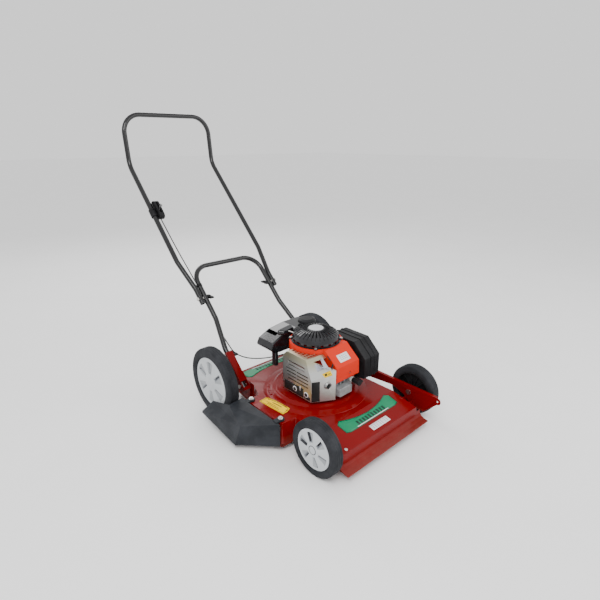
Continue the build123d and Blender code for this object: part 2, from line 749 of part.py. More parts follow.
with BuildPart() as starter_pulley:
    with BuildSketch(Plane.XZ):
        with BuildLine():
            Polyline((7, 328), (40, 328), (40, 330.5), (PULLEY_R, 333), (PULLEY_R, 339), (40, 341.5),
                     (40, 344), (7, 344), close=True)
        make_face()
    revolve(axis=Axis.Z)
    with BuildSketch(Plane.XY.offset(324)):
        Circle(14)
        Circle(7, mode=Mode.SUBTRACT)
    extrude(amount=6)
keep(starter_pulley.part, "starter_pulley")

with BuildPart() as starter_rope:
    with BuildSketch(Plane(origin=rope_point(3), z_dir=ROPE_DIR)):
        Circle(2)
    extrude(amount=ROPE_REACH - 3)
keep(starter_rope.part, "starter_rope")

with BuildPart() as starter_grip:
    grip_plane = Plane(origin=rope_point(ROPE_REACH), x_dir=(0, 0, 1), z_dir=ROPE_DIR)
    with BuildSketch(grip_plane):
        SlotOverall(60, 16, rotation=90)
    with BuildSketch(grip_plane.offset(18)):
        SlotOverall(86, 22, rotation=90)
    loft()
    with BuildSketch(grip_plane.offset(18)):
        SlotOverall(86, 22, rotation=90)
    extrude(amount=6)
    fillet(starter_grip.edges().group_by(SortBy.LENGTH)[-1], radius=2)
keep(starter_grip.part, "starter_grip")

# fuel tank behind the fan housing, with its filler on the left
FILLER_X, FILLER_Y = 72.0, 128.0

with BuildPart() as fuel_tank:
    with BuildSketch(Plane.XZ.offset(-216)):
        with BuildLine():
            Polyline((-130, 268), (-118, 292), (-66, 316), (10, 326), (96, 326), (112, 310), (112, 244),
                     (-84, 244), (-118, 256), close=True)
        make_face()
        fillet(vertices(), radius=8)
    extrude(amount=96)
    fillet(fuel_tank.edges().filter_by(Plane.XZ), radius=7)
    # filler neck
    with BuildSketch(Plane.XY.offset(318)):
        with Locations((FILLER_X, FILLER_Y)):
            Circle(30)
    extrude(amount=16)
    # bracket leg on the right, down to the crankcase
    with BuildSketch(Plane.XY.offset(196)):
        with Locations((-104, 126)):
            RectangleRounded(16, 26, 5)
    extrude(amount=56)
    # clear of the fan housing
    with Locations((0, 0, 290)):
        Cylinder(108, 200, mode=Mode.SUBTRACT)
    # filler
    with Locations((FILLER_X, FILLER_Y, 330)):
        Cylinder(25, 60, mode=Mode.SUBTRACT)
    # hollow for the fuel
    with Locations((10, 178, 284)):
        Box(186, 60, 64, mode=Mode.SUBTRACT)
keep(fuel_tank.part, "fuel_tank")

with BuildPart() as fuel_cap:
    cap_plane = Plane(origin=(FILLER_X, FILLER_Y, 0), x_dir=(1, 0, 0), z_dir=(0, -1, 0))
    with BuildSketch(cap_plane):
        with BuildLine():
            Polyline((0, 352), (26, 351), (36, 346), (38, 341), (38, 336.5), (31, 336.5), (31, 342),
                     (0, 342), close=True)
        make_face()
    revolve(axis=Axis(origin=(FILLER_X, FILLER_Y, 0), direction=(0, 0, 1)))
    # finger grips
    with BuildSketch(Plane.XY.offset(334)):
        with Locations((FILLER_X, FILLER_Y)):
            with PolarLocations(38.8, 24):
                Circle(1.8)
    extrude(amount=30, mode=Mode.SUBTRACT)
keep(fuel_cap.part, "fuel_cap")

with BuildPart() as oil_cap:
    oil_plane = Plane(origin=OIL_NECK + OIL_AXIS * 44.3, z_dir=OIL_AXIS)
    with BuildSketch(oil_plane):
        Circle(15)
    extrude(amount=9)
    with BuildSketch(oil_plane.offset(9)):
        Rectangle(24, 6)
    extrude(amount=9)
    with BuildSketch(oil_plane):
        Circle(8.6)
    extrude(amount=-14)
keep(oil_cap.part, "oil_cap")

# muffler on the right, inside its heat guard
OUTLET_X, OUTLET_Z = -79.0, 204.0

with BuildPart() as muffler:
    with BuildSketch(Plane.XZ.offset(-18)):
        with Locations((-96, 200)):
            RectangleRounded(52, 96, 16)
    extrude(amount=110)
    # flange to the exhaust port
    with Locations(Location((-60, -88, BORE_Z), (0, 90, 0))):
        Cylinder(12, 22)
    # outlet pipe through the guard's front
    with Locations(Location((OUTLET_X, -119, OUTLET_Z), (90, 0, 0))):
        Cylinder(12, 62)
    with Locations(Location((OUTLET_X, -124, OUTLET_Z), (90, 0, 0))):
        Cylinder(10, 54, mode=Mode.SUBTRACT)
keep(muffler.part, "muffler")

GUARD_X, GUARD_INNER_X = -134.0, -51.6      # outer face, and the edge beside the fan housing
GUARD_CORNER, GUARD_FRONT = -115.0, -160.0  # its front face runs across at an angle, along Y
GUARD_REAR, GUARD_LOW, GUARD_TOP = 42.0, 141.0, 304.0


def guard_form(shift, reach, below):
    """Heat guard as a solid: shifted skin, with its inner edge carried on by reach and its foot by below."""
    x, inner, y = GUARD_X + shift, GUARD_INNER_X + reach, GUARD_CORNER + 1.2 * shift
    slant = (GUARD_FRONT - GUARD_CORNER) / (GUARD_INNER_X - GUARD_X)
    front = y + slant * (inner - x)
    low, top, rear = GUARD_LOW - below, GUARD_TOP - shift, GUARD_REAR - shift
    crown = 262 - shift + 0.41 * reach
    lip = -92 + 1.2 * shift
    a, a_low = (x, y, 228 - shift), (x, y, low)
    b, b_low = (inner, front, crown), (inner, front, low)
    c, d = (x, -86 + 1.2 * shift, top), (inner, lip, top)
    e, f = (inner, rear - 24, top), (x, rear - 24, top)
    g, h = (inner, rear, top - 22), (x, rear, top - 22)
    g_low, h_low = (inner, rear, low), (x, rear, low)
    return faceted([(a_low, b_low, b, a), (a, b, c), (c, b, d), (c, d, e, f), (f, e, g, h),
                    (h, g, g_low, h_low), (a_low, h_low, g_low, b_low), (a_low, a, c, f, h, h_low),
                    (b_low, g_low, g, e, d, b)])


with BuildPart() as muffler_guard:
    add(guard_form(0, 0, 0))
    add(guard_form(1.6, 20, 20), mode=Mode.SUBTRACT)
    # outlet hole
    with Locations(Location((OUTLET_X, -145, OUTLET_Z), (90, 0, 0))):
        Cylinder(13, 44, mode=Mode.SUBTRACT)
    # cooling slots in the top and in the big face
    with BuildSketch(Plane.XY.offset(GUARD_TOP)):
        with Locations((-98, -35)):
            with GridLocations(0, 16, 1, 6):
                SlotOverall(44, 6)
    extrude(amount=-10, mode=Mode.SUBTRACT)
    with BuildSketch(across(GUARD_X, 0, 0)):
        with Locations((-34, 268), (-34, 254)):
            SlotOverall(92, 5)
    extrude(amount=10, both=True, mode=Mode.SUBTRACT)
    # clearance for the starter's skirt, the fan housing and the crankcase
    with Locations((0, 0, 290)):
        Cylinder(105, 200, mode=Mode.SUBTRACT)
    with Locations((-46, 20, 165)):
        Box(21, 130, 60, mode=Mode.SUBTRACT)
keep(muffler_guard.part, "muffler_guard")

# carburettor and air cleaner on the left
with BuildPart() as carburettor:
    with Locations((77, -108, 226)):
        Box(18, 40, 44)
    with Locations(Location((72, -108, 226), (0, 90, 0))):
        Cylinder(14, 31)
    with BuildSketch(Plane.XY.offset(178)):
        with Locations((72, -108)):
            Circle(15)
    extrude(amount=27)
keep(carburettor.part, "carburettor")


def cleaner_profile(inset, x):
    """Eight-sided outline of the air cleaner, square to X."""
    with BuildSketch(Plane.YZ.offset(x)) as outline:
        with BuildLine():
            Polyline((-150 + inset, 176 + inset), (-178 + inset, 182 + inset),
                     (-178 + inset, 264 - inset / 2), (-119 + inset / 2, 319 - inset),
                     (-inset / 2, 319 - inset), (22 - inset, 290 - inset / 2),
                     (22 - inset, 200 + inset / 2), (-6 - inset / 2, 176 + inset), close=True)
        make_face()
    return outline.sketch


with BuildPart() as air_cleaner_base:
    extrude(cleaner_profile(0, 88), dir=(1, 0, 0), amount=34)
    extrude(cleaner_profile(3, 92), dir=(1, 0, 0), amount=40, mode=Mode.SUBTRACT)
    # air passage to the carburettor
    with Locations(Location((88, -104, 226), (0, 90, 0))):
        Cylinder(12, 20, mode=Mode.SUBTRACT)
    # clear of the fan housing
    with Locations((0, 0, 290)):
        Cylinder(106, 200, mode=Mode.SUBTRACT)
keep(air_cleaner_base.part, "air_cleaner_base")

with BuildPart() as air_filter:
    extrude(cleaner_profile(14, 112), dir=(1, 0, 0), amount=46)
keep(air_filter.part, "air_filter")

with BuildPart() as air_cleaner_cover:
    extrude(cleaner_profile(0, 122.4), dir=(1, 0, 0), amount=62)
    chamfer(air_cleaner_cover.faces().sort_by(Axis.X)[-1].edges(), length=9)
    # raised bands that run round the cover
    for band in (122.4, 148):
        extrude(cleaner_profile(-2.5, band), dir=(1, 0, 0), amount=6)
    extrude(cleaner_profile(3, 118), dir=(1, 0, 0), amount=55, mode=Mode.SUBTRACT)
keep(air_cleaner_cover.part, "air_cleaner_cover")

COIL_TURN = 138.0
with BuildPart() as ignition_coil:
    with PolarLocations(91, 1, start_angle=COIL_TURN):
        with Locations((0, 0, 288)):
            Box(15, 26, 20)
        with Locations((-4, 0, 268)):
            Box(14, 34, 12)
        with Locations((0, 0, 276)):
            Box(14, 20, 10)
keep(ignition_coil.part, "ignition_coil")

with BuildPart() as engine_bolts:
    with BuildSketch(Plane.XY.offset(PLATEAU_Z + 10.4)):
        with PolarLocations(ENGINE_BOLT_R, 3, start_angle=ENGINE_BOLT_TURN):
            Circle(7.4)
    extrude(amount=1.4)
    with BuildSketch(Plane.XY.offset(PLATEAU_Z + 11.8)):
        with PolarLocations(ENGINE_BOLT_R, 3, start_angle=ENGINE_BOLT_TURN):
            RegularPolygon(6.2, 6)
    extrude(amount=5)
    with BuildSketch(Plane.XY.offset(PLATEAU_Z + 10.4)):
        with PolarLocations(ENGINE_BOLT_R, 3, start_angle=ENGINE_BOLT_TURN):
            Circle(4)
    extrude(amount=-26)
keep(engine_bolts.part, "engine_bolts")

with BuildPart() as starter_screws:
    for bottom, radius, height in ((323.4, 5.5, 3.5), (314, 2.4, 10)):
        with BuildSketch(Plane.XY.offset(bottom)):
            with PolarLocations(STARTER_R + 6.5, 4, start_angle=45):
                Circle(radius)
        extrude(amount=height)
keep(starter_screws.part, "starter_screws")


# ---------------------------------------------------------------- handle
def tube(points, radii, outer=TUBE_R, wall=WALL):
    """Round tube along straight runs joined by tangent bends."""
    with BuildPart() as bent:
        with BuildLine() as path:
            FilletPolyline(*points, radius=radii)
        with BuildSketch(Plane(origin=path.line @ 0, z_dir=path.line % 0)):
            Circle(outer)
            if wall:
                Circle(outer - wall, mode=Mode.SUBTRACT)
        sweep(path=path.line)
    return bent.part


with BuildPart() as lower_handle:
    left_leg = [
        (FOOT_X, PIVOT_Y - 14 * ALONG[1], PIVOT_Z - 14 * ALONG[2]),
        (FOOT_X, *on_handle(-250)[1:]),
        (LOWER_X, *on_handle(-110)[1:]),
        (LOWER_X - 1, CROSS_Y, CROSS_Z),
    ]
    right_leg = [(-x, y, z) for x, y, z in reversed(left_leg)]
    add(tube(left_leg + right_leg, (120, 120, 78, 78, 120, 120)))
    for x in (-LOWER_X, LOWER_X):
        with Locations(Location((x, BOLT_Y, BOLT_Z), (0, 90, 0))):
            Cylinder(4.2, 40, mode=Mode.SUBTRACT)
    for x in (-FOOT_X, FOOT_X):
        for distance in (0, 142):
            y = PIVOT_Y + distance * ALONG[1]
            z = PIVOT_Z + distance * ALONG[2]
            with Locations(Location((x, y, z), (0, 90, 0))):
                Cylinder(4.2, 40, mode=Mode.SUBTRACT)
    # notch that lets each foot swing off its knob bolt
    for x in (-FOOT_X, FOOT_X):
        foot = Plane(origin=(x, PIVOT_Y, PIVOT_Z), x_dir=(1, 0, 0), z_dir=ALONG)
        with BuildSketch(foot.offset(136.6)):
            with Locations((0, -11)):
                Rectangle(40, 22)
        extrude(amount=9.7, mode=Mode.SUBTRACT)
keep(lower_handle.part, "lower_handle")

with BuildPart() as upper_handle:
    left_leg = [
        on_handle(-26, 0, UPPER_X),
        on_handle(48, 0, UPPER_X),
        (GRIP_X, KINK_Y, KINK_Z),
        (GRIP_X, NECK_Y, NECK_Z),
        (GRIP_X, GRIP_Y, GRIP_Z),
    ]
    right_leg = [(-x, y, z) for x, y, z in reversed(left_leg)]
    add(tube(left_leg + right_leg, (110, 110, 90, 86, 86, 90, 110, 110)))
    for x in (-UPPER_X, UPPER_X):
        with Locations(Location((x, BOLT_Y, BOLT_Z), (0, 90, 0))):
            Cylinder(4.2, 40, mode=Mode.SUBTRACT)
keep(upper_handle.part, "upper_handle")

# carriage bolts: head outboard, thread inboard where the wing knob runs
BOLT_SHANK_R = 4.0
KNOB_BORE_R = 4.06


def carriage_bolt(x_head, x_end, y, z, side):
    """Domed head with a washer, and a plain shank to the thread's end."""
    with BuildPart() as bolt:
        with BuildSketch(across(x_head, y, z, side)):
            Circle(9)
        extrude(amount=1.6)
        with BuildSketch(across(x_head + side * 1.6, y, z, side)):
            Circle(7)
        extrude(amount=3.4, taper=20)
        with BuildSketch(across(x_head, y, z, -side)):
            Circle(BOLT_SHANK_R)
        extrude(amount=abs(x_head - x_end))
    return bolt.part


def wing_knob(x, y, z, side):
    """Moulded knob with two swept wings and a hub, screwed on from the inboard side."""
    face = across(x, y, z, -side)
    with BuildPart() as knob:
        with BuildSketch(face):
            Circle(9)
        extrude(amount=14, taper=4)
        with BuildSketch(face.offset(3)):
            with Locations((14, 0), (-14, 0)):
                Ellipse(12, 4.6)
            Rectangle(26, 7)
        extrude(amount=15)
        with BuildSketch(face):
            Circle(KNOB_BORE_R)
        extrude(amount=12, mode=Mode.SUBTRACT)
    return knob.part


LOWER_KNOB = 142.0
KNOB_Y = PIVOT_Y + LOWER_KNOB * ALONG[1]
KNOB_Z = PIVOT_Z + LOWER_KNOB * ALONG[2]

with BuildPart() as joint_bolts:
    for side in SIDES.values():
        add(carriage_bolt(side * (UPPER_X + TUBE_R + 0.3), side * (LOWER_X - 22), BOLT_Y, BOLT_Z, side))
        with BuildSketch(across(side * (LOWER_X + TUBE_R + 0.4), BOLT_Y, BOLT_Z, side)):
            Circle(9)
            Circle(BOLT_SHANK_R + 0.3, mode=Mode.SUBTRACT)
        extrude(amount=1.2)
keep(joint_bolts.part, "joint_bolts")

with BuildPart() as bracket_bolts:
    for side in SIDES.values():
        add(carriage_bolt(side * (FOOT_X + 16.3), side * (FOOT_X - 27.5), KNOB_Y, KNOB_Z, side))
        with BuildSketch(across(side * (FOOT_X + 16.3), PIVOT_Y, PIVOT_Z, side)):
            Circle(8)
        extrude(amount=4)
        with BuildSketch(across(side * (FOOT_X + 16.3), PIVOT_Y, PIVOT_Z, -side)):
            Circle(BOLT_SHANK_R)
        extrude(amount=40)
keep(bracket_bolts.part, "bracket_bolts")

for side_name, side in SIDES.items():
    keep(wing_knob(side * (LOWER_X - TUBE_R - 0.5), BOLT_Y, BOLT_Z, side), f"upper_knob_{side_name}")
    keep(wing_knob(side * (FOOT_X - 16.6), KNOB_Y, KNOB_Z, side), f"lower_knob_{side_name}")

# throttle control on the right leg, on its inboard side
THROTTLE = 478.0            # distance up the handle from the joint bolt
THROTTLE_X = -GRIP_X + TUBE_R + 16

LEVER_Y, LEVER_Z = on_handle(THROTTLE, 14)[1:]
with BuildPart() as throttle_housing:
    plane = Plane(origin=on_handle(THROTTLE - 52, 0, 0), x_dir=(1, 0, 0), z_dir=ALONG)
    # band round the tube
    with BuildSketch(plane.offset(22)):
        with Locations((-GRIP_X, 0)):
            Circle(TUBE_R + 4)
            Circle(TUBE_R + 0.3, mode=Mode.SUBTRACT)
    extrude(amount=40)
    # body with rounded back
    with BuildSketch(across(-GRIP_X + TUBE_R + 3, *on_handle(THROTTLE)[1:])):
        with Locations(Location((0, 0), HANDLE_ANGLE)):
            with Locations((0, 8)):
                SlotOverall(96, 36)
    extrude(amount=26)
    fillet(throttle_housing.faces().sort_by(Axis.X)[-1].edges(), radius=4)
    # slot in which the lever swings
    with BuildSketch(across(THROTTLE_X - 4.5, *on_handle(THROTTLE)[1:])):
        with Locations(Location((0, 0), HANDLE_ANGLE)):
            with Locations((4, 16)):
                Rectangle(60, 44)
    extrude(amount=8, mode=Mode.SUBTRACT)
    with Locations(Location((THROTTLE_X, LEVER_Y, LEVER_Z), (0, 90, 0))):
        Cylinder(3.06, 60, mode=Mode.SUBTRACT)
keep(throttle_housing.part, "throttle_housing")

with BuildPart() as throttle_lever:
    with BuildSketch(across(THROTTLE_X - 2.5, LEVER_Y, LEVER_Z)):
        Circle(8)
        with Locations(Location((0, 0), HANDLE_ANGLE + 100)):
            with Locations((18, 0)):
                Rectangle(36, 9)
        with Locations(Location((0, 0), HANDLE_ANGLE + 100)):
            with Locations((38, 0)):
                Ellipse(9, 6.5)
    extrude(amount=4)
    with BuildSketch(across(THROTTLE_X - 11, LEVER_Y, LEVER_Z)):
        Circle(3)
    extrude(amount=22)
keep(throttle_lever.part, "throttle_lever")

# control cable: throttle to clip, and clip to engine
CLIP_AT = 62.0
CLIP_DROP = -16.5           # the cable lies under the tube
CABLE_UPPER = [
    (-206, *on_handle(428.5, 8)[1:]),
    (-203, *on_handle(368, 5)[1:]),
    (-198, *on_handle(306, -1)[1:]),
    (-191, *on_handle(246, -9)[1:]),
    (-184, *on_handle(190, -15)[1:]),
    (-179, *on_handle(138, -18)[1:]),
    (-178, *on_handle(100, -17.5)[1:]),
    (-178, *on_handle(CLIP_AT + 6.5, CLIP_DROP)[1:]),
]
CABLE_LOWER = [
    (-178, *on_handle(CLIP_AT - 6.5, CLIP_DROP)[1:]),
    (-178.5, *on_handle(0, -17.5)[1:]),
    (-178, *on_handle(-62, -16.5)[1:]),
    (-177, *on_handle(-122, -18)[1:]),
    (-172, *on_handle(-176, -22)[1:]),
    (-163, *on_handle(-228, -29)[1:]),
    (-148, *on_handle(-272, -40)[1:]),
    (-124, 306, 166),
    (-92, 272, 163),
    (-58, 238, 168),
    (-28, 206, 178),
    (-3, 186, 188),
    (8, 160, CABLE_END_Z),
    (8, 130, CABLE_END_Z),
]


def bend_radii(points):
    """As large a bend at each corner as its two runs allow."""
    radii = []
    for before, corner, after in zip(points, points[1:], points[2:]):
        first = Vector(*corner) - Vector(*before)
        second = Vector(*after) - Vector(*corner)
        turn = radians(first.get_angle(second))
        radii.append(0.45 * min(first.length, second.length) / tan(turn / 2))
    return radii


for name, route in (("control_cable_upper", CABLE_UPPER), ("control_cable_lower", CABLE_LOWER)):
    radii = bend_radii(route)
    cable = tube(route, tuple(radii), outer=CABLE_R, wall=0)
    print(name, "bends", [round(r) for r in radii], "volume", round(cable.volume))
    keep(cable, name)

with BuildPart() as cable_clip:
    clip_plane = Plane(origin=on_handle(CLIP_AT - 5), x_dir=(1, 0, 0), z_dir=ALONG)
    with BuildSketch(clip_plane):
        with Locations((-LOWER_X, -CLIP_DROP)):
            Circle(CABLE_R + 2.5)
        with Locations((-LOWER_X, 0)):
            Circle(TUBE_R + 1.6)
            Circle(TUBE_R + 0.1, mode=Mode.SUBTRACT)
    extrude(amount=10)
keep(cable_clip.part, "cable_clip")
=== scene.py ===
"""Looks of a walk-behind rotary mower: materials, wheels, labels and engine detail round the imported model."""
import json
import math

import bmesh
import bpy
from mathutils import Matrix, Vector
from mathutils.bvhtree import BVHTree


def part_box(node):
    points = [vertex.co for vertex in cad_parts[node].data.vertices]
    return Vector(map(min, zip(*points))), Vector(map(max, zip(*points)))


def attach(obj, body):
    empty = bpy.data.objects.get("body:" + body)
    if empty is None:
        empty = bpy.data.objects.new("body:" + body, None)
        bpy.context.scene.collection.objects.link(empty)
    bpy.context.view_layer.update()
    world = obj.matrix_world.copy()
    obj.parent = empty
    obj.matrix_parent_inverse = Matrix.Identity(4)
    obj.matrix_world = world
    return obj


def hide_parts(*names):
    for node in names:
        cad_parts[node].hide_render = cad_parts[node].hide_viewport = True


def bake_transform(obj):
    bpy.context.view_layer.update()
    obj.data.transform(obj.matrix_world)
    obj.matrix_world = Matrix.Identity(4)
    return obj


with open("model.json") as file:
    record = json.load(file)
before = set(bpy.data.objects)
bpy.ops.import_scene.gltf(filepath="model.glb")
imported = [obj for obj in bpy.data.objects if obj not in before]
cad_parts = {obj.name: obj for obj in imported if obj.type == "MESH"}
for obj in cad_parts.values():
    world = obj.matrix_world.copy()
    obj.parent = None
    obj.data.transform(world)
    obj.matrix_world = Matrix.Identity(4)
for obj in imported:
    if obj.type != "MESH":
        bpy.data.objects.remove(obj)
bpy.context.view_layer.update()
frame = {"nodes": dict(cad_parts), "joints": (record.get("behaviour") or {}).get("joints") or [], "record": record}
MM = 0.001


# ---------------------------------------------------------------- camera, light and floor
def make_camera():
    """Camera at the photograph's viewing angle, to the mower's front right."""
    data = bpy.data.cameras.new("camera")
    data.sensor_width = 36.0
    data.lens = 27.03
    camera = bpy.data.objects.new("camera", data)
    camera.location = (-1.1325, -1.1434, 1.0489)
    yaw, pitch = math.radians(42.53), math.radians(19.48)
    forward = Vector((math.sin(yaw) * math.cos(pitch), math.cos(yaw) * math.cos(pitch), -math.sin(pitch)))
    camera.rotation_mode = "QUATERNION"
    camera.rotation_quaternion = forward.to_track_quat("-Z", "Y")
    bpy.context.scene.collection.objects.link(camera)
    bpy.context.scene.camera = camera


def area_light(name, place, target, size, power, colour=(1, 1, 1)):
    """Soft rectangular light that faces a target."""
    data = bpy.data.lights.new(name, "AREA")
    data.shape = "RECTANGLE"
    data.size, data.size_y = size
    data.energy = power
    data.color = colour
    light = bpy.data.objects.new(name, data)
    light.location = place
    light.rotation_mode = "QUATERNION"
    light.rotation_quaternion = (Vector(target) - Vector(place)).to_track_quat("-Z", "Y")
    bpy.context.scene.collection.objects.link(light)


def make_studio():
    """Pale floor that runs to the horizon, a bright even surround and three soft lights."""
    mesh = bpy.data.meshes.new("studio_floor")
    reach = 30.0
    mesh.from_pydata([(-reach, -reach, -0.001), (reach, -reach, -0.001), (reach, reach, -0.001),
                      (-reach, reach, -0.001)], [], [(0, 1, 2, 3)])
    floor = bpy.data.objects.new("studio_floor", mesh)
    bpy.context.scene.collection.objects.link(floor)
    look = Look("studio_floor", rough=0.6)
    look.base(look.ramp(look.noise(3, 2), (0.3, (0.93, 0.93, 0.93)), (0.7, (0.95, 0.95, 0.95))))
    mesh.materials.append(look.material)
    world = bpy.data.worlds.new("studio")
    world.use_nodes = True
    background = world.node_tree.nodes["Background"]
    background.inputs["Color"].default_value = (1.0, 1.0, 1.0, 1)
    background.inputs["Strength"].default_value = 1.15
    bpy.context.scene.world = world
    area_light("key", (-1.6, -1.2, 2.6), (0, 0.2, 0.3), (1.6, 1.2), 55)
    area_light("fill", (1.8, -2.2, 1.8), (0, 0, 0.3), (2.0, 1.6), 30)
    area_light("back", (0.8, 2.8, 2.4), (0, 0.2, 0.3), (2.2, 1.2), 40)


# ---------------------------------------------------------------- materials
class Look:
    """A material being made: its shader, and short ways to add texture nodes to it."""

    def __init__(self, name, colour=(0.5, 0.5, 0.5), rough=0.5, metal=0.0, coat=0.0, coat_rough=0.05,
                 shine=0.5):
        self.material = bpy.data.materials.new(name)
        self.material.use_nodes = True
        self.tree = self.material.node_tree
        self.shader = self.tree.nodes["Principled BSDF"]
        self.shader.inputs["Base Color"].default_value = (*colour, 1)
        self.shader.inputs["Roughness"].default_value = rough
        self.shader.inputs["Metallic"].default_value = metal
        self.shader.inputs["Coat Weight"].default_value = coat
        self.shader.inputs["Coat Roughness"].default_value = coat_rough
        self.shader.inputs["Specular IOR Level"].default_value = shine
        self.place = self.node("ShaderNodeTexCoord").outputs["Object"]
        self.height = None

    def node(self, kind, **settings):
        made = self.tree.nodes.new(kind)
        for key, value in settings.items():
            setattr(made, key, value)
        return made

    def wire(self, source, socket):
        """Connects a socket, or sets a plain value."""
        if isinstance(source, bpy.types.NodeSocket):
            self.tree.links.new(source, socket)
        elif isinstance(source, tuple) and len(source) == 3 and socket.type == "RGBA":
            socket.default_value = (*source, 1)
        else:
            socket.default_value = source

    def scaled(self, stretch):
        """The place coordinate, stretched by three factors."""
        mapping = self.node("ShaderNodeMapping")
        self.wire(self.place, mapping.inputs["Vector"])
        mapping.inputs["Scale"].default_value = stretch
        return mapping.outputs["Vector"]

    def noise(self, scale, detail=4.0, stretch=None, rough=0.5):
        made = self.node("ShaderNodeTexNoise")
        self.wire(self.scaled(stretch) if stretch else self.place, made.inputs["Vector"])
        made.inputs["Scale"].default_value = scale
        made.inputs["Detail"].default_value = detail
        made.inputs["Roughness"].default_value = rough
        return made.outputs["Fac"]

    def cells(self, scale, stretch=None):
        made = self.node("ShaderNodeTexVoronoi")
        self.wire(self.scaled(stretch) if stretch else self.place, made.inputs["Vector"])
        made.inputs["Scale"].default_value = scale
        return made.outputs["Distance"]

    def ramp(self, factor, *stops):
        """Colour ramp through (position, colour) stops."""
        made = self.node("ShaderNodeValToRGB")
        self.wire(factor, made.inputs["Fac"])
        elements = made.color_ramp.elements
        while len(elements) < len(stops):
            elements.new(0.5)
        for element, (position, colour) in zip(elements, stops):
            element.position = position
            element.color = (*colour, 1) if isinstance(colour, tuple) else (colour, colour, colour, 1)
        return made.outputs["Color"]

    def mix(self, factor, one, two, blend="MIX"):
        made = self.node("ShaderNodeMix", data_type="RGBA", blend_type=blend)
        self.wire(factor, made.inputs[0])
        self.wire(one, made.inputs[6])
        self.wire(two, made.inputs[7])
        return made.outputs[2]

    def maths(self, operation, one, two=0.0):
        made = self.node("ShaderNodeMath", operation=operation)
        self.wire(one, made.inputs[0])
        self.wire(two, made.inputs[1])
        return made.outputs[0]

    def axis(self, letter):
        """One coordinate of the place."""
        made = self.node("ShaderNodeSeparateXYZ")
        self.wire(self.place, made.inputs[0])
        return made.outputs[letter]

    def low_down(self, bottom, top):
        """1 at height bottom, falling to 0 at height top."""
        made = self.node("ShaderNodeMapRange")
        self.wire(self.axis("Z"), made.inputs["Value"])
        made.inputs["From Min"].default_value = bottom
        made.inputs["From Max"].default_value = top
        made.inputs["To Min"].default_value = 1.0
        made.inputs["To Max"].default_value = 0.0
        return made.outputs["Result"]

    def base(self, colour):
        self.wire(colour, self.shader.inputs["Base Color"])
        return self

    def rough(self, factor, low, high):
        """Roughness that runs from low to high with a factor."""
        made = self.node("ShaderNodeMapRange")
        self.wire(factor, made.inputs["Value"])
        made.inputs["To Min"].default_value = low
        made.inputs["To Max"].default_value = high
        self.wire(made.outputs["Result"], self.shader.inputs["Roughness"])
        return self

    def bump(self, height, depth, strength=1.0):
        """Adds relief depth metres deep; more than one call stacks them."""
        made = self.node("ShaderNodeBump")
        made.inputs["Strength"].default_value = strength
        made.inputs["Distance"].default_value = depth
        self.wire(height, made.inputs["Height"])
        if self.height is not None:
            self.wire(self.height, made.inputs["Normal"])
        self.height = made.outputs["Normal"]
        self.wire(self.height, self.shader.inputs["Normal"])
        return self


def painted(name, colour, shade, rough=0.16, dust_top=0.06, coat=0.3, shine=0.3):
    """Gloss paint over pressed steel: slight waviness, fine orange peel, dust low down and small chips."""
    look = Look(name, colour, rough, coat=coat, coat_rough=0.06, shine=shine)
    tone = look.mix(look.noise(7, 3), colour, shade)
    dust = look.maths("MULTIPLY", look.low_down(0.02, dust_top), look.noise(45, 6, rough=0.65))
    tone = look.mix(look.maths("MULTIPLY", dust, 0.35), tone, (0.23, 0.16, 0.12))
    chips = look.ramp(look.noise(160, 8, rough=0.75), (0.73, 0.0), (0.76, 1.0))
    tone = look.mix(look.maths("MULTIPLY", chips, 0.5), tone, tuple(0.45 * c for c in colour))
    look.base(tone)
    look.rough(look.noise(28, 5), rough * 0.75, rough * 1.7)
    look.bump(look.noise(420, 2), 0.00012)
    look.bump(look.noise(9, 2), 0.0012, 0.35)
    return look.material


def moulded(name, colour, rough=0.5, grain=900, depth=0.0001, wear=1.6, shine=0.22):
    """Moulded plastic: fine spark-eroded grain, faint flow marks and rubbed patches."""
    look = Look(name, colour, rough, shine=shine)
    rubbed = tuple(min(1.0, c * wear + 0.01) for c in colour)
    tone = look.mix(look.ramp(look.noise(14, 6, rough=0.6), (0.42, 0.0), (0.72, 1.0)), colour, rubbed)
    look.base(tone)
    look.rough(look.noise(40, 5), rough * 0.8, min(1.0, rough * 1.25))
    look.bump(look.cells(grain), depth, 0.6)
    look.bump(look.noise(60, 4, stretch=(1, 1, 0.3)), 0.0003, 0.3)
    return look.material


def metal(name, colour, rough=0.3, brushed=(1, 1, 1), stain=0.7, heated=None):
    """Bare or plated metal: brushed streaks and stain, with a second colour high up if heated is given."""
    look = Look(name, colour, rough, metal=1.0)
    dark = tuple(c * stain for c in colour)
    tone = look.mix(look.noise(55, 6, rough=0.65), colour, dark)
    if heated:
        tone = look.mix(look.low_down(0.258, 0.29), heated, tone)
    look.base(tone)
    look.rough(look.noise(260, 4, stretch=brushed), rough * 0.7, min(1.0, rough * 1.5))
    look.bump(look.noise(500, 3, stretch=brushed), 0.00008, 0.5)
    return look.material


def cast(name, colour, rough=0.65):
    """Sand-cast or die-cast metal: pitted skin, oily stain in the low places."""
    look = Look(name, colour, rough, metal=0.55)
    oily = tuple(c * 0.45 for c in colour)
    look.base(look.mix(look.ramp(look.noise(30, 8, rough=0.7), (0.35, 0.0), (0.7, 1.0)), colour, oily))
    look.rough(look.noise(90, 5), rough * 0.7, min(1.0, rough * 1.3))
    look.bump(look.noise(700, 6, rough=0.7), 0.00035, 0.8)
    return look.material


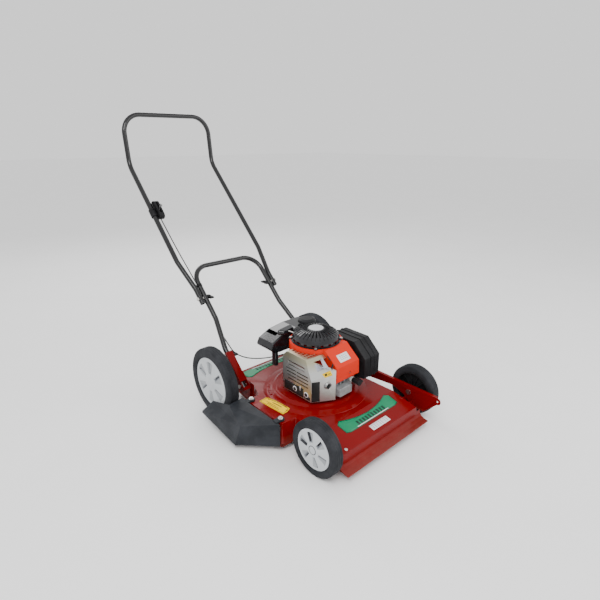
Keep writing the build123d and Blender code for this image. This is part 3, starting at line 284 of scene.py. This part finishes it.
def make_materials():
    """Every material of the mower, by name."""
    looks = {
        "deck_red": painted("deck_red", (0.20, 0.0015, 0.002), (0.15, 0.001, 0.0015), coat=0.07, shine=0.12),
        "shroud_red": painted("shroud_red", (0.66, 0.025, 0.006), (0.58, 0.02, 0.005), rough=0.34, coat=0.0,
                              shine=0.12),
        "black_tube": painted("black_tube", (0.007, 0.007, 0.008), (0.012, 0.012, 0.013), rough=0.2),
        "black_plastic": moulded("black_plastic", (0.008, 0.008, 0.009), 0.42, shine=0.12),
        "gloss_black": moulded("gloss_black", (0.006, 0.006, 0.008), 0.14, depth=0.00002, shine=0.5),
        "chute_plastic": moulded("chute_plastic", (0.017, 0.019, 0.023), 0.42, grain=1400, shine=0.14),
        "grey_plastic": moulded("grey_plastic", (0.50, 0.52, 0.54), 0.42, wear=0.9),
        "tyre": moulded("tyre", (0.018, 0.019, 0.022), 0.66, grain=1200, depth=0.00015, wear=1.7, shine=0.1),
        "zinc": metal("zinc", (0.74, 0.73, 0.70), 0.28),
        "steel": metal("steel", (0.58, 0.58, 0.58), 0.32, brushed=(0.06, 1, 1)),
        "guard_metal": metal("guard_metal", (0.66, 0.67, 0.65), 0.32, brushed=(1, 1, 0.05), stain=0.85,
                             heated=(0.50, 0.47, 0.33)),
        "cast_alloy": cast("cast_alloy", (0.40, 0.41, 0.42)),
        "cast_iron": cast("cast_iron", (0.16, 0.16, 0.165), 0.75),
        "filter_paper": moulded("filter_paper", (0.75, 0.70, 0.52), 0.9, grain=500, wear=0.9),
        "cable_sheath": moulded("cable_sheath", (0.012, 0.012, 0.012), 0.35),
        "rope": moulded("rope", (0.70, 0.70, 0.66), 0.85, grain=2500, depth=0.0004, wear=0.8),
        "ceramic": moulded("ceramic", (0.85, 0.85, 0.82), 0.15, depth=0.00001, wear=0.95),
        "badge": metal("badge", (0.82, 0.83, 0.84), 0.25, brushed=(1, 0.05, 1), stain=0.9),
        "label": moulded("label", (0.0, 0.20, 0.085), 0.3, depth=0.00002, wear=1.1),
        "decal_dark": moulded("decal_dark", (0.004, 0.035, 0.02), 0.3, depth=0.00002),
        "sticker_white": moulded("sticker_white", (0.80, 0.76, 0.76), 0.35, depth=0.00002, wear=0.95),
        # painted shade: the cover's slits and recesses take darker greys for the shadow that falls in them
        "cover_slit_painted_shadow": moulded("cover_slit_painted_shadow", (0.045, 0.047, 0.052), 0.5),
        "cover_recess_painted_deep_shade": moulded("cover_recess_painted_deep_shade", (0.17, 0.18, 0.20), 0.45, wear=0.86),
        "cover_recess_painted_shade": moulded("cover_recess_painted_shade", (0.33, 0.345, 0.36), 0.45, wear=0.86),
        # black for print, and for painted shadow in the heat guard's louvres, slots and dark band
        "print_and_painted_shadow_black": moulded("print_and_painted_shadow_black", (0.01, 0.01, 0.01), 0.4, depth=0.00002),
        "print_grey": moulded("print_grey", (0.42, 0.44, 0.50), 0.4, depth=0.00002, wear=0.9),
        "print_blue": moulded("print_blue", (0.30, 0.42, 0.55), 0.4, depth=0.00002, wear=0.9),
        "yellow": moulded("yellow", (0.95, 0.60, 0.0), 0.4, depth=0.00002, wear=0.95, shine=0.05),
    }
    return looks


LOOKS = make_materials()


# ---------------------------------------------------------------- carried-over nodes
SHEET_METAL = ("deck_shell", "left_side_rail", "handle_bracket_left", "handle_bracket_right", "blower_shroud",
               "muffler_guard", "front_wheel_bracket")
MOULDED = ("discharge_chute", "air_cleaner_base", "air_cleaner_cover", "fuel_tank", "throttle_housing",
           "upper_knob_left", "upper_knob_right", "lower_knob_left", "lower_knob_right", "starter_grip",
           "plug_cap")


def dress_nodes():
    """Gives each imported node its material, and rounds the edges of pressings and mouldings."""
    for row in frame["record"]["subparts"]:
        node = frame["nodes"][row["node"]]
        node.data.materials.clear()
        node.data.materials.append(LOOKS[row["material_slot"]])
    for names, width in ((SHEET_METAL, 0.8), (MOULDED, 1.4)):
        for name in names:
            node = frame["nodes"][name]
            weld = node.modifiers.new("joined", "WELD")
            weld.merge_threshold = 0.02 * MM
            round_edges(node, width * MM)


def round_edges(made, width, segments=2, angle=28):
    """Rounded edges, as moulding and pressing leave them."""
    bevel = made.modifiers.new("rounded", "BEVEL")
    bevel.width = width
    bevel.segments = segments
    bevel.limit_method = "ANGLE"
    bevel.angle_limit = math.radians(angle)
    bevel.harden_normals = True
    return made


# ---------------------------------------------------------------- mesh helpers
def add_piece(name, verts, faces, look, body=None, sharp=40, others=()):
    """Makes a mesh piece that rides on a body. others are (look, face numbers that take it)."""
    mesh = bpy.data.meshes.new(name)
    mesh.from_pydata([tuple(v) for v in verts], [], faces)
    mesh.materials.append(LOOKS[look])
    for index, (other, numbers) in enumerate(others):
        mesh.materials.append(LOOKS[other])
        for number in numbers:
            mesh.polygons[number].material_index = index + 1
    mended = bmesh.new()
    mended.from_mesh(mesh)
    bmesh.ops.recalc_face_normals(mended, faces=mended.faces)
    mended.to_mesh(mesh)
    mended.free()
    mesh.shade_smooth()
    mesh.set_sharp_from_angle(angle=math.radians(sharp))
    made = bpy.data.objects.new(name, mesh)
    bpy.context.scene.collection.objects.link(made)
    if body:
        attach(made, body)
    return made


def lathe_x(centre, side, profile, segments, relief=None):
    """Closed section turned about an axle along X. profile is (outwards, radius) in metres."""
    verts, faces = [], []
    for out, radius in profile:
        for step in range(segments):
            angle = 2 * math.pi * step / segments
            r = radius - (relief(out, radius, angle) if relief else 0)
            verts.append((centre.x + side * out, centre.y + r * math.cos(angle),
                          centre.z + r * math.sin(angle)))
    for i in range(len(profile)):
        one, two = i * segments, ((i + 1) % len(profile)) * segments
        for j in range(segments):
            k = (j + 1) % segments
            faces.append((one + j, one + k, two + k, two + j))
    return verts, faces


# ---------------------------------------------------------------- wheels
def tread(radius):
    """Relief of the tyre: three grooves round it, and slanted cuts across its shoulders."""
    pitch = math.radians(4)

    def depth(out, r, angle):
        if r < 0.985 * radius:
            return 0
        groove = 0.0011 if any(abs(out - at * MM) < 1.1 * MM for at in (-9, 0, 9)) else 0
        cut = ((angle + 1.2 * abs(out) / radius) % pitch) / pitch < 0.25
        return max(groove, 0.0008 if cut and abs(out) > 10 * MM else 0)

    return depth


def make_wheel(body):
    """Tyre, black moulded centre with ribs on the inboard side, and a light recessed cover."""
    low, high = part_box(body)
    centre = (low + high) / 2
    radius, half = (high.z - low.z) / 2, (high.x - low.x) / 2
    side = 1 if centre.x > 0 else -1
    bead = 0.735 * radius
    wall = [(-half + 4 * MM, bead), (-half + 1.5 * MM, bead + 2 * MM),
            (-half, bead + 0.35 * (radius - bead)), (-half, radius - 8 * MM),
            (-half + 1 * MM, radius - 4.5 * MM), (-half + 3 * MM, radius - 1.6 * MM),
            (-half + 5.5 * MM, radius - 0.3 * MM)]
    crown = [((-half + 7 * MM) + (2 * half - 14 * MM) * i / 30, radius) for i in range(31)]
    profile = wall + crown + [(-out, r) for out, r in reversed(wall)]
    verts, faces = lathe_x(centre, side, profile, 270, tread(radius))
    tyre = add_piece(body + "_tyre", verts, faces, "tyre", body, sharp=50)
    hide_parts(body)
    hub, bore = 16 * MM, 6.3 * MM
    dish = [(half - 6 * MM, bead + 0.5 * MM), (-half + 2 * MM, bead + 0.5 * MM),
            (-half + 1 * MM, bead - 1 * MM), (-half + 1 * MM, bead - 3 * MM), (-half + 9 * MM, bead - 5 * MM),
            (-3 * MM, bead - 9 * MM), (-4 * MM, 0.5 * bead), (-5 * MM, 26 * MM), (-9 * MM, hub + 3 * MM),
            (-half + 1 * MM, hub), (-half + 1 * MM, bore), (half + 1 * MM, bore), (half + 1 * MM, hub),
            (2 * MM, 24 * MM), (1 * MM, 0.5 * bead), (1 * MM, bead - 8 * MM), (half - 8 * MM, bead - 5 * MM)]
    verts, faces = lathe_x(centre, side, dish, 96)
    add_piece(body + "_centre", verts, faces, "black_plastic", body)
    make_ribs(body, centre, side, half, bead)
    make_cover(body, centre, side, half, bead)


def make_ribs(body, centre, side, half, bead):
    """Twelve standing ribs between hub and rim on the inboard side."""
    verts, faces = [], []
    section = [(-4, 17 * MM), (-19, 17 * MM), (-14, 0.5 * bead), (-13, bead - 4 * MM), (-3, bead - 4 * MM)]
    for step in range(12):
        angle = 2 * math.pi * (step + 0.5) / 12
        along = Vector((0, math.cos(angle), math.sin(angle)))
        wide = Vector((0, -math.sin(angle), math.cos(angle))) * 1.3 * MM
        start, count = len(verts), len(section)
        for sign in (-1, 1):
            verts += [centre + Vector((side * out * MM, 0, 0)) + along * r + wide * sign
                      for out, r in section]
        faces.append(tuple(range(start, start + count)))
        faces.append(tuple(range(start + 2 * count - 1, start + count - 1, -1)))
        faces += [(start + i, start + (i + 1) % count, start + count + (i + 1) % count, start + count + i)
                  for i in range(count)]
    add_piece(body + "_ribs", verts, faces, "black_plastic", body)


def make_cover(body, centre, side, half, bead):
    """Light disc with six swept recesses: each drops at a slit painted dark as its shadow and rises again round
    the disc, with painted shade over the recess.
    """
    rim, recesses, around, rings = bead - 1 * MM, 6, 480, 44
    span = 2 * math.pi / recesses
    turn = math.radians(4 if centre.z < 0.12 else 18)
    verts, faces, slit_shadow_faces, recess_shade_faces, deep_shade_faces = [], [], [], [], []

    def phase(angle):
        return ((angle - turn) % span) / span

    for ring in range(rings + 1):
        t = ring / rings
        for step in range(around):
            angle = 2 * math.pi * step / around
            window = max(0.0, min(1.0, (t - 0.34) / 0.07, (0.86 - t) / 0.05))
            fall = max(0.0, 1 - phase(angle) / 0.55)
            out = half - 3.0 * MM + 3.6 * MM * (1 - t * t) - 7.0 * MM * window * fall
            if phase(angle) * span * t * rim < 5 * MM and 0.40 < t < 0.83:
                out -= 3.0 * MM
            if t > 0.93:
                out += 1.0 * MM * (1 - abs(t - 0.965) / 0.035)
            if t < 0.20:
                out += 1.5 * MM * min(1.0, (0.20 - t) / 0.03)
            verts.append(centre + Vector((side * out, t * rim * math.cos(angle), t * rim * math.sin(angle))))
    for ring in range(rings):
        for step in range(around):
            here, ahead = ring * around + step, ring * around + (step + 1) % around
            faces.append((here, ahead, ahead + around, here + around))
            angle = 2 * math.pi * (step + 0.5) / around
            t = (ring + 0.5) / rings
            turned = phase(angle) * span * t * rim
            # painted shade: faces in each slit, beside it and over the rest of the recess are coloured darker for
            # their shadow
            if turned < 4.6 * MM and 0.42 < t < 0.81:
                slit_shadow_faces.append(len(faces) - 1)
            elif turned < 10 * MM and 0.38 < t < 0.84:
                deep_shade_faces.append(len(faces) - 1)
            elif phase(angle) < 0.42 and 0.36 < t < 0.86:
                recess_shade_faces.append(len(faces) - 1)
    last = rings * around
    for step in range(around):
        angle = 2 * math.pi * step / around
        verts.append(centre + Vector((side * (half - 8.5 * MM), rim * math.cos(angle),
                                      rim * math.sin(angle))))
        ahead = (step + 1) % around
        faces.append((last + step, last + ahead, last + around + ahead, last + around + step))
    cover = add_piece(body + "_cover", verts, faces, "grey_plastic", body, sharp=30,
                      others=(("cover_slit_painted_shadow", slit_shadow_faces), ("cover_recess_painted_deep_shade", deep_shade_faces), ("cover_recess_painted_shade", recess_shade_faces)))
    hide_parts(body.replace("wheel_", "wheel_cover_"))


# ---------------------------------------------------------------- labels, printed marks and painted shadows
class Paper:
    """A flat working sheet that stands off a node's surface. Labels are laid from it onto the surface."""

    def __init__(self, node, body, origin, right, up):
        mesh = frame["nodes"][node].data
        self.tree = BVHTree.FromPolygons([v.co.copy() for v in mesh.vertices],
                                         [tuple(p.vertices) for p in mesh.polygons])
        self.body = body
        self.right, self.up = Vector(right).normalized(), Vector(up).normalized()
        self.out = self.right.cross(self.up)
        self.origin = Vector(origin) * MM

    def lay(self, name, shapes, look, layer=0, cell=8.0):
        """Lays flat shapes (corners in mm) on the surface as one thin piece; higher layers lie above."""
        sheet = bmesh.new()
        for corners in shapes:
            made = [sheet.verts.new((x, y, 0)) for x, y in corners]
            sheet.faces.new(made)
        for axis, normal in ((0, (1, 0, 0)), (1, (0, 1, 0))):
            low = min(v.co[axis] for v in sheet.verts)
            high = max(v.co[axis] for v in sheet.verts)
            for step in range(1, int((high - low) / cell) + 1):
                place = Vector(normal) * (low + step * cell)
                everything = sheet.verts[:] + sheet.edges[:] + sheet.faces[:]
                bmesh.ops.bisect_plane(sheet, geom=everything, plane_co=place, plane_no=normal)
        bmesh.ops.triangulate(sheet, faces=sheet.faces)
        lift = (0.3 + 0.22 * layer) * MM
        for vert in sheet.verts:
            start = self.origin + self.right * vert.co.x * MM + self.up * vert.co.y * MM
            hit = self.tree.ray_cast(start, -self.out, 0.12)[0]
            vert.co = (hit if hit is not None else start) + self.out * lift
        bmesh.ops.recalc_face_normals(sheet, faces=sheet.faces)
        mesh = bpy.data.meshes.new(name)
        sheet.to_mesh(mesh)
        sheet.free()
        mesh.materials.append(LOOKS[look])
        made = bpy.data.objects.new(name, mesh)
        bpy.context.scene.collection.objects.link(made)
        mesh.shade_smooth()
        skin = made.modifiers.new("thickness", "SOLIDIFY")
        skin.thickness = 0.18 * MM
        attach(made, self.body)
        return made


def block(x, y, wide, high, turn=0.0):
    """Corners of a rectangle centred on a point."""
    c, s = math.cos(math.radians(turn)), math.sin(math.radians(turn))
    return [(x + a * wide / 2 * c - b * high / 2 * s, y + a * wide / 2 * s + b * high / 2 * c)
            for a, b in ((-1, -1), (1, -1), (1, 1), (-1, 1))]


def disc(x, y, radius, count=28):
    """Corners of a round spot."""
    return [(x + radius * math.cos(2 * math.pi * i / count), y + radius * math.sin(2 * math.pi * i / count))
            for i in range(count)]


def frame_lines(x, y, wide, high, line, turn=0.0):
    """Four thin bars round a rectangle."""
    c, s = math.cos(math.radians(turn)), math.sin(math.radians(turn))
    bars = []
    for a, b in ((0, 1), (0, -1), (1, 0), (-1, 0)):
        dx, dy = a * wide / 2, b * high / 2
        size = (wide, line) if b else (line, high)
        bars.append(block(x + dx * c - dy * s, y + dx * s + dy * c, *size, turn))
    return bars


def bow(middle, straight, end, inset):
    """Bow-tie outline: one straight edge, and one edge hollowed to clear the deck's round step."""
    corners = [(130, 63), (148 - inset, 48 + inset / 2), (146 - inset, 6 + inset), (128 - inset, inset),
               (-128 + inset, inset), (-146 + inset, 6 + inset), (-148 + inset, 48 + inset / 2), (-130, 63)]
    corners[0], corners[-1] = (130 - inset / 2, 63 - 1.4 * inset), (-130 + inset / 2, 63 - 1.4 * inset)
    for step in range(1, 24):
        x = -130 + 260 * step / 24
        corners.append((x, 37 - inset + 26 * (abs(x) / 130) ** 2))
    return [(middle + x, end * (straight - y)) for x, y in corners]


def deck_decals():
    """Two green decals, a yellow label and a white sticker on the deck, all with plain marks."""
    top = Paper("deck_shell", "deck", (0, 0, 170), (1, 0, 0), (0, 1, 0))
    for where, middle, straight, end in (("front", 20, 291, -1), ("rear", -12, 296, 1)):
        edge = top.lay(f"{where}_decal_edge", [bow(middle, straight, end, 0)], "decal_dark")
        top.lay(f"{where}_decal", [bow(middle, straight, end, 2.6)], "label", layer=1)
        bars = [block(middle - 72 + 16 * i, end * (straight - 18), 10, 18) for i in range(10)]
        top.lay(f"{where}_decal_bars", bars, "decal_dark", layer=2)
        line = block(middle, end * (straight - 5.5), 176, 3)
        top.lay(f"{where}_decal_line", [line], "sticker_white", layer=2)
        if where == "front":
            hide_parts("deck_labels")
    turn = 94.5
    top.lay("yellow_label", [block(-212, 3, 128, 36, turn)], "yellow")
    marks = frame_lines(-212, 3, 120, 29, 1.5, turn)
    marks += [block(-212 + off, 3 + 0.08 * off, 84 - 3 * abs(off), 2.4, turn) for off in (-7, 0, 7)]
    top.lay("yellow_label_marks", marks, "print_and_painted_shadow_black", layer=1)
    top.lay("white_sticker", [block(17, -317, 97, 24)], "sticker_white")
    marks = [block(17 - 38 + 12.6 * i, -317 + shift, 8, 3.2) for i in range(7) for shift in (-6, 0, 6)]
    top.lay("white_sticker_marks", marks, "print_grey", layer=1)


def engine_prints_and_painted_shadows():
    """Painted shadow in the heat guard's louvres and slots, a dark band that is partly print and partly painted
    shade, stripe and stickers on the heat guard, and the sticker on the fan housing.
    """
    side = Paper("muffler_guard", "deck", (-150, 0, 0), (0, -1, 0), (0, 0, 1))
    louvre_shadow_shapes = []
    # painted shadow: each louvre is a black patch for the shade seen in the opening
    for row, z in enumerate((238, 224, 210, 196)):
        louvre_shadow_shapes.append(block(5 + 2 * row, z, 54 - 2 * row, 4.2))
        louvre_shadow_shapes.append(block(68, z - 1, 62, 4.2))
    side.lay("guard_louvre_painted_shadows", louvre_shadow_shapes, "print_and_painted_shadow_black")
    # partly print and partly painted shade: one black band for the guard's dark print and for the shadow over its
    # lower part
    side.lay("guard_band_print_and_painted_shade", [block(20, 163, 108, 38), block(94, 152, 30, 14)], "print_and_painted_shadow_black")
    rings, holes = [], []
    for y in (26, 88):
        rings.append(disc(y, 163, 11))
        holes.append(disc(y, 163, 7.5))
    side.lay("guard_rings", rings + [block(56, 176, 4, 20)], "sticker_white", layer=1, cell=30)
    side.lay("guard_ring_holes", holes, "print_and_painted_shadow_black", layer=2, cell=30)
    corner = Paper("muffler_guard", "deck", (-143.6, -132.6, 0), (0.878, -0.479, 0), (0, 0, 1))
    corner.lay("guard_stripe", [block(17, 184, 31, 82)], "print_and_painted_shadow_black")
    corner.lay("guard_sticker", [[(40.5, 253), (51.2, 238), (80.1, 245.2), (71.9, 264)]], "yellow", cell=4)
    marks = [block(55, 249.5, 9, 8, 14), block(68, 252.5, 9, 2.6, 14)]
    corner.lay("guard_sticker_marks", marks, "print_and_painted_shadow_black", layer=1, cell=4)
    corner.lay("guard_grey_panel", [[(15, 287), (25, 262), (62, 274), (53, 299)]], "print_grey", cell=4)
    slant = Paper("muffler_guard", "deck", (-90, -99.5, 321), (1, 0, 0), (0, 0.85, 0.525))
    # painted shadow: the two slots are black patches for the shade inside them
    slant.lay("guard_slot_painted_shadows", [block(31, -35, 5, 22), block(27, -66, 5, 14)], "print_and_painted_shadow_black", cell=4)
    front = Paper("blower_shroud", "deck", (9.5, -151.4, 304.7), (1, 0, 0), (0, 0.783, 0.622))
    front.lay("shroud_sticker", [block(0, 0, 56, 32)], "sticker_white")
    marks = [block(-14 + 9.5 * i, shift, 6.5, 3.4) for i in range(4) for shift in (-6, 1, 8)]
    front.lay("shroud_sticker_marks", marks, "print_blue", layer=1)


def starter_fins():
    """Thirty-two low fins that run down the starter cover's dome."""
    dome = ((34, 366), (58, 362), (79, 352.4), (86, 346.5))
    verts, faces = [], []
    for step in range(32):
        angle = 2 * math.pi * step / 32
        along = Vector((math.cos(angle), math.sin(angle), 0))
        wide = Vector((-math.sin(angle), math.cos(angle), 0)) * 1.3 * MM
        start = len(verts)
        for sign in (-1, 1):
            for r, z in dome:
                verts.append(along * r * MM + wide * sign + Vector((0, 0, (z - 0.6) * MM)))
            for r, z in reversed(dome):
                verts.append(along * r * MM + wide * sign * 0.6 + Vector((0, 0, (z + 1.7) * MM)))
        count = 2 * len(dome)
        faces.append(tuple(range(start, start + count)))
        faces.append(tuple(range(start + 2 * count - 1, start + count - 1, -1)))
        faces += [(start + i, start + (i + 1) % count, start + count + (i + 1) % count, start + count + i)
                  for i in range(count)]
    add_piece("starter_fins", verts, faces, "black_plastic", "deck")


def rivet(name, start, towards, radius, look):
    """Low domed head on the deck's surface, where a line from start first meets it."""
    deck = Paper("deck_shell", "deck", start, (1, 0, 0), (0, 1, 0))
    towards = Vector(towards).normalized()
    place, normal = deck.tree.ray_cast(deck.origin, towards, 0.3)[:2]
    normal = -normal if normal.dot(towards) > 0 else normal
    right = normal.orthogonal().normalized()
    up = normal.cross(right)
    verts, faces, around = [], [], 20
    for out, r in ((-0.6, 1.0), (0.7, 1.0), (1.6, 0.8), (2.2, 0.4)):
        for step in range(around):
            angle = 2 * math.pi * step / around
            spoke = right * math.cos(angle) + up * math.sin(angle)
            verts.append(place + (normal * out + spoke * r * radius) * MM)
    for one in range(0, 3 * around, around):
        for step in range(around):
            k = (step + 1) % around
            faces.append((one + step, one + k, one + around + k, one + around + step))
    faces.append(tuple(range(3 * around, 4 * around)))
    faces.append(tuple(range(around - 1, -1, -1)))
    add_piece(name, verts, faces, look, "deck", sharp=60)


# ---------------------------------------------------------------- cables and rope
def cord_mesh(name, points, radius, look, sides=4):
    """Smooth round cord through control points, as a mesh."""
    data = bpy.data.curves.new(name, "CURVE")
    data.dimensions = "3D"
    data.bevel_depth = radius
    data.bevel_resolution = sides
    data.use_fill_caps = True
    data.resolution_u = 8
    spline = data.splines.new("NURBS")
    spline.points.add(len(points) - 1)
    for point, place in zip(spline.points, points):
        point.co = (*place, 1)
    spline.order_u = 3
    spline.use_endpoint_u = True
    line = bpy.data.objects.new(name + "_line", data)
    bpy.context.scene.collection.objects.link(line)
    bpy.context.view_layer.update()
    mesh = bpy.data.meshes.new_from_object(line.evaluated_get(bpy.context.evaluated_depsgraph_get()))
    bpy.data.objects.remove(line)
    bpy.data.curves.remove(data)
    mesh.name = name
    mesh.materials.clear()
    mesh.materials.append(LOOKS[look])
    mesh.shade_smooth()
    made = bpy.data.objects.new(name, mesh)
    bpy.context.scene.collection.objects.link(made)
    return made


SLOPE = math.radians(45.5)          # handle above the horizontal
ROPE_TURN = math.radians(99.6)      # the rope's direction, from +X
ROPE_LENGTH, ROPE_RADIUS = 105 * MM, 2 * MM
JOINT = next(joint["pos_m"] for joint in frame["joints"] if joint["name"] == "upper_fold")


def on_handle(x, distance, rise):
    """A point x across, distance up the handle from its joint and rise square to it, given in mm."""
    return Vector((x * MM, JOINT[1] + (distance * math.cos(SLOPE) - rise * math.sin(SLOPE)) * MM,
                   JOINT[2] + (distance * math.sin(SLOPE) + rise * math.cos(SLOPE)) * MM))


def make_cables():
    """Throttle cable in two runs, to the clip and on to the engine, and the starter rope."""
    path = ((-206, 428.5, 8), (-203, 368, 5), (-198, 306, -1), (-191, 246, -9), (-184, 190, -15),
            (-179, 138, -18), (-178, 100, -17.5), (-178, 62, -16.5))
    upper = [on_handle(*p) for p in path]
    made = cord_mesh("control_cable_upper_smooth", upper, 2.5 * MM, "cable_sheath")
    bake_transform(made)
    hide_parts("control_cable_upper")
    path = ((-178, 62, -16.5), (-178.5, 0, -17.5), (-178, -62, -16.5), (-177, -122, -18), (-172, -176, -22),
            (-163, -228, -29), (-148, -272, -40))
    lower = [on_handle(*p) for p in path]
    lower += [Vector(p) * MM for p in ((-124, 306, 166), (-92, 272, 163), (-58, 238, 168), (-28, 206, 178),
                                       (-3, 186, 188), (8, 160, 193), (8, 131, 193))]
    made = cord_mesh("control_cable_lower_smooth", lower, 2.5 * MM, "cable_sheath")
    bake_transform(made)
    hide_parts("control_cable_lower")
    low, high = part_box("starter_rope")
    along = Vector((math.cos(ROPE_TURN), math.sin(ROPE_TURN), 0))
    first = Vector((high.x - ROPE_RADIUS * along.y, low.y + ROPE_RADIUS * abs(along.x), (low.z + high.z) / 2))
    rope = [first + along * ROPE_LENGTH * i / 8 for i in range(9)]
    made = cord_mesh("starter_rope_smooth", rope, ROPE_RADIUS, "rope")
    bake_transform(made)
    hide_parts("starter_rope")


make_camera()
make_studio()
dress_nodes()
for name in ("wheel_front_left", "wheel_front_right", "wheel_rear_left", "wheel_rear_right"):
    make_wheel(name)
deck_decals()
engine_prints_and_painted_shadows()
starter_fins()
rivet("rivet_front", (-181, -420, 85), (0, 1, 0), 6, "zinc")
rivet("rivet_left", (200, -280, 200), (0, 0, -1), 7, "deck_red")
make_cables()
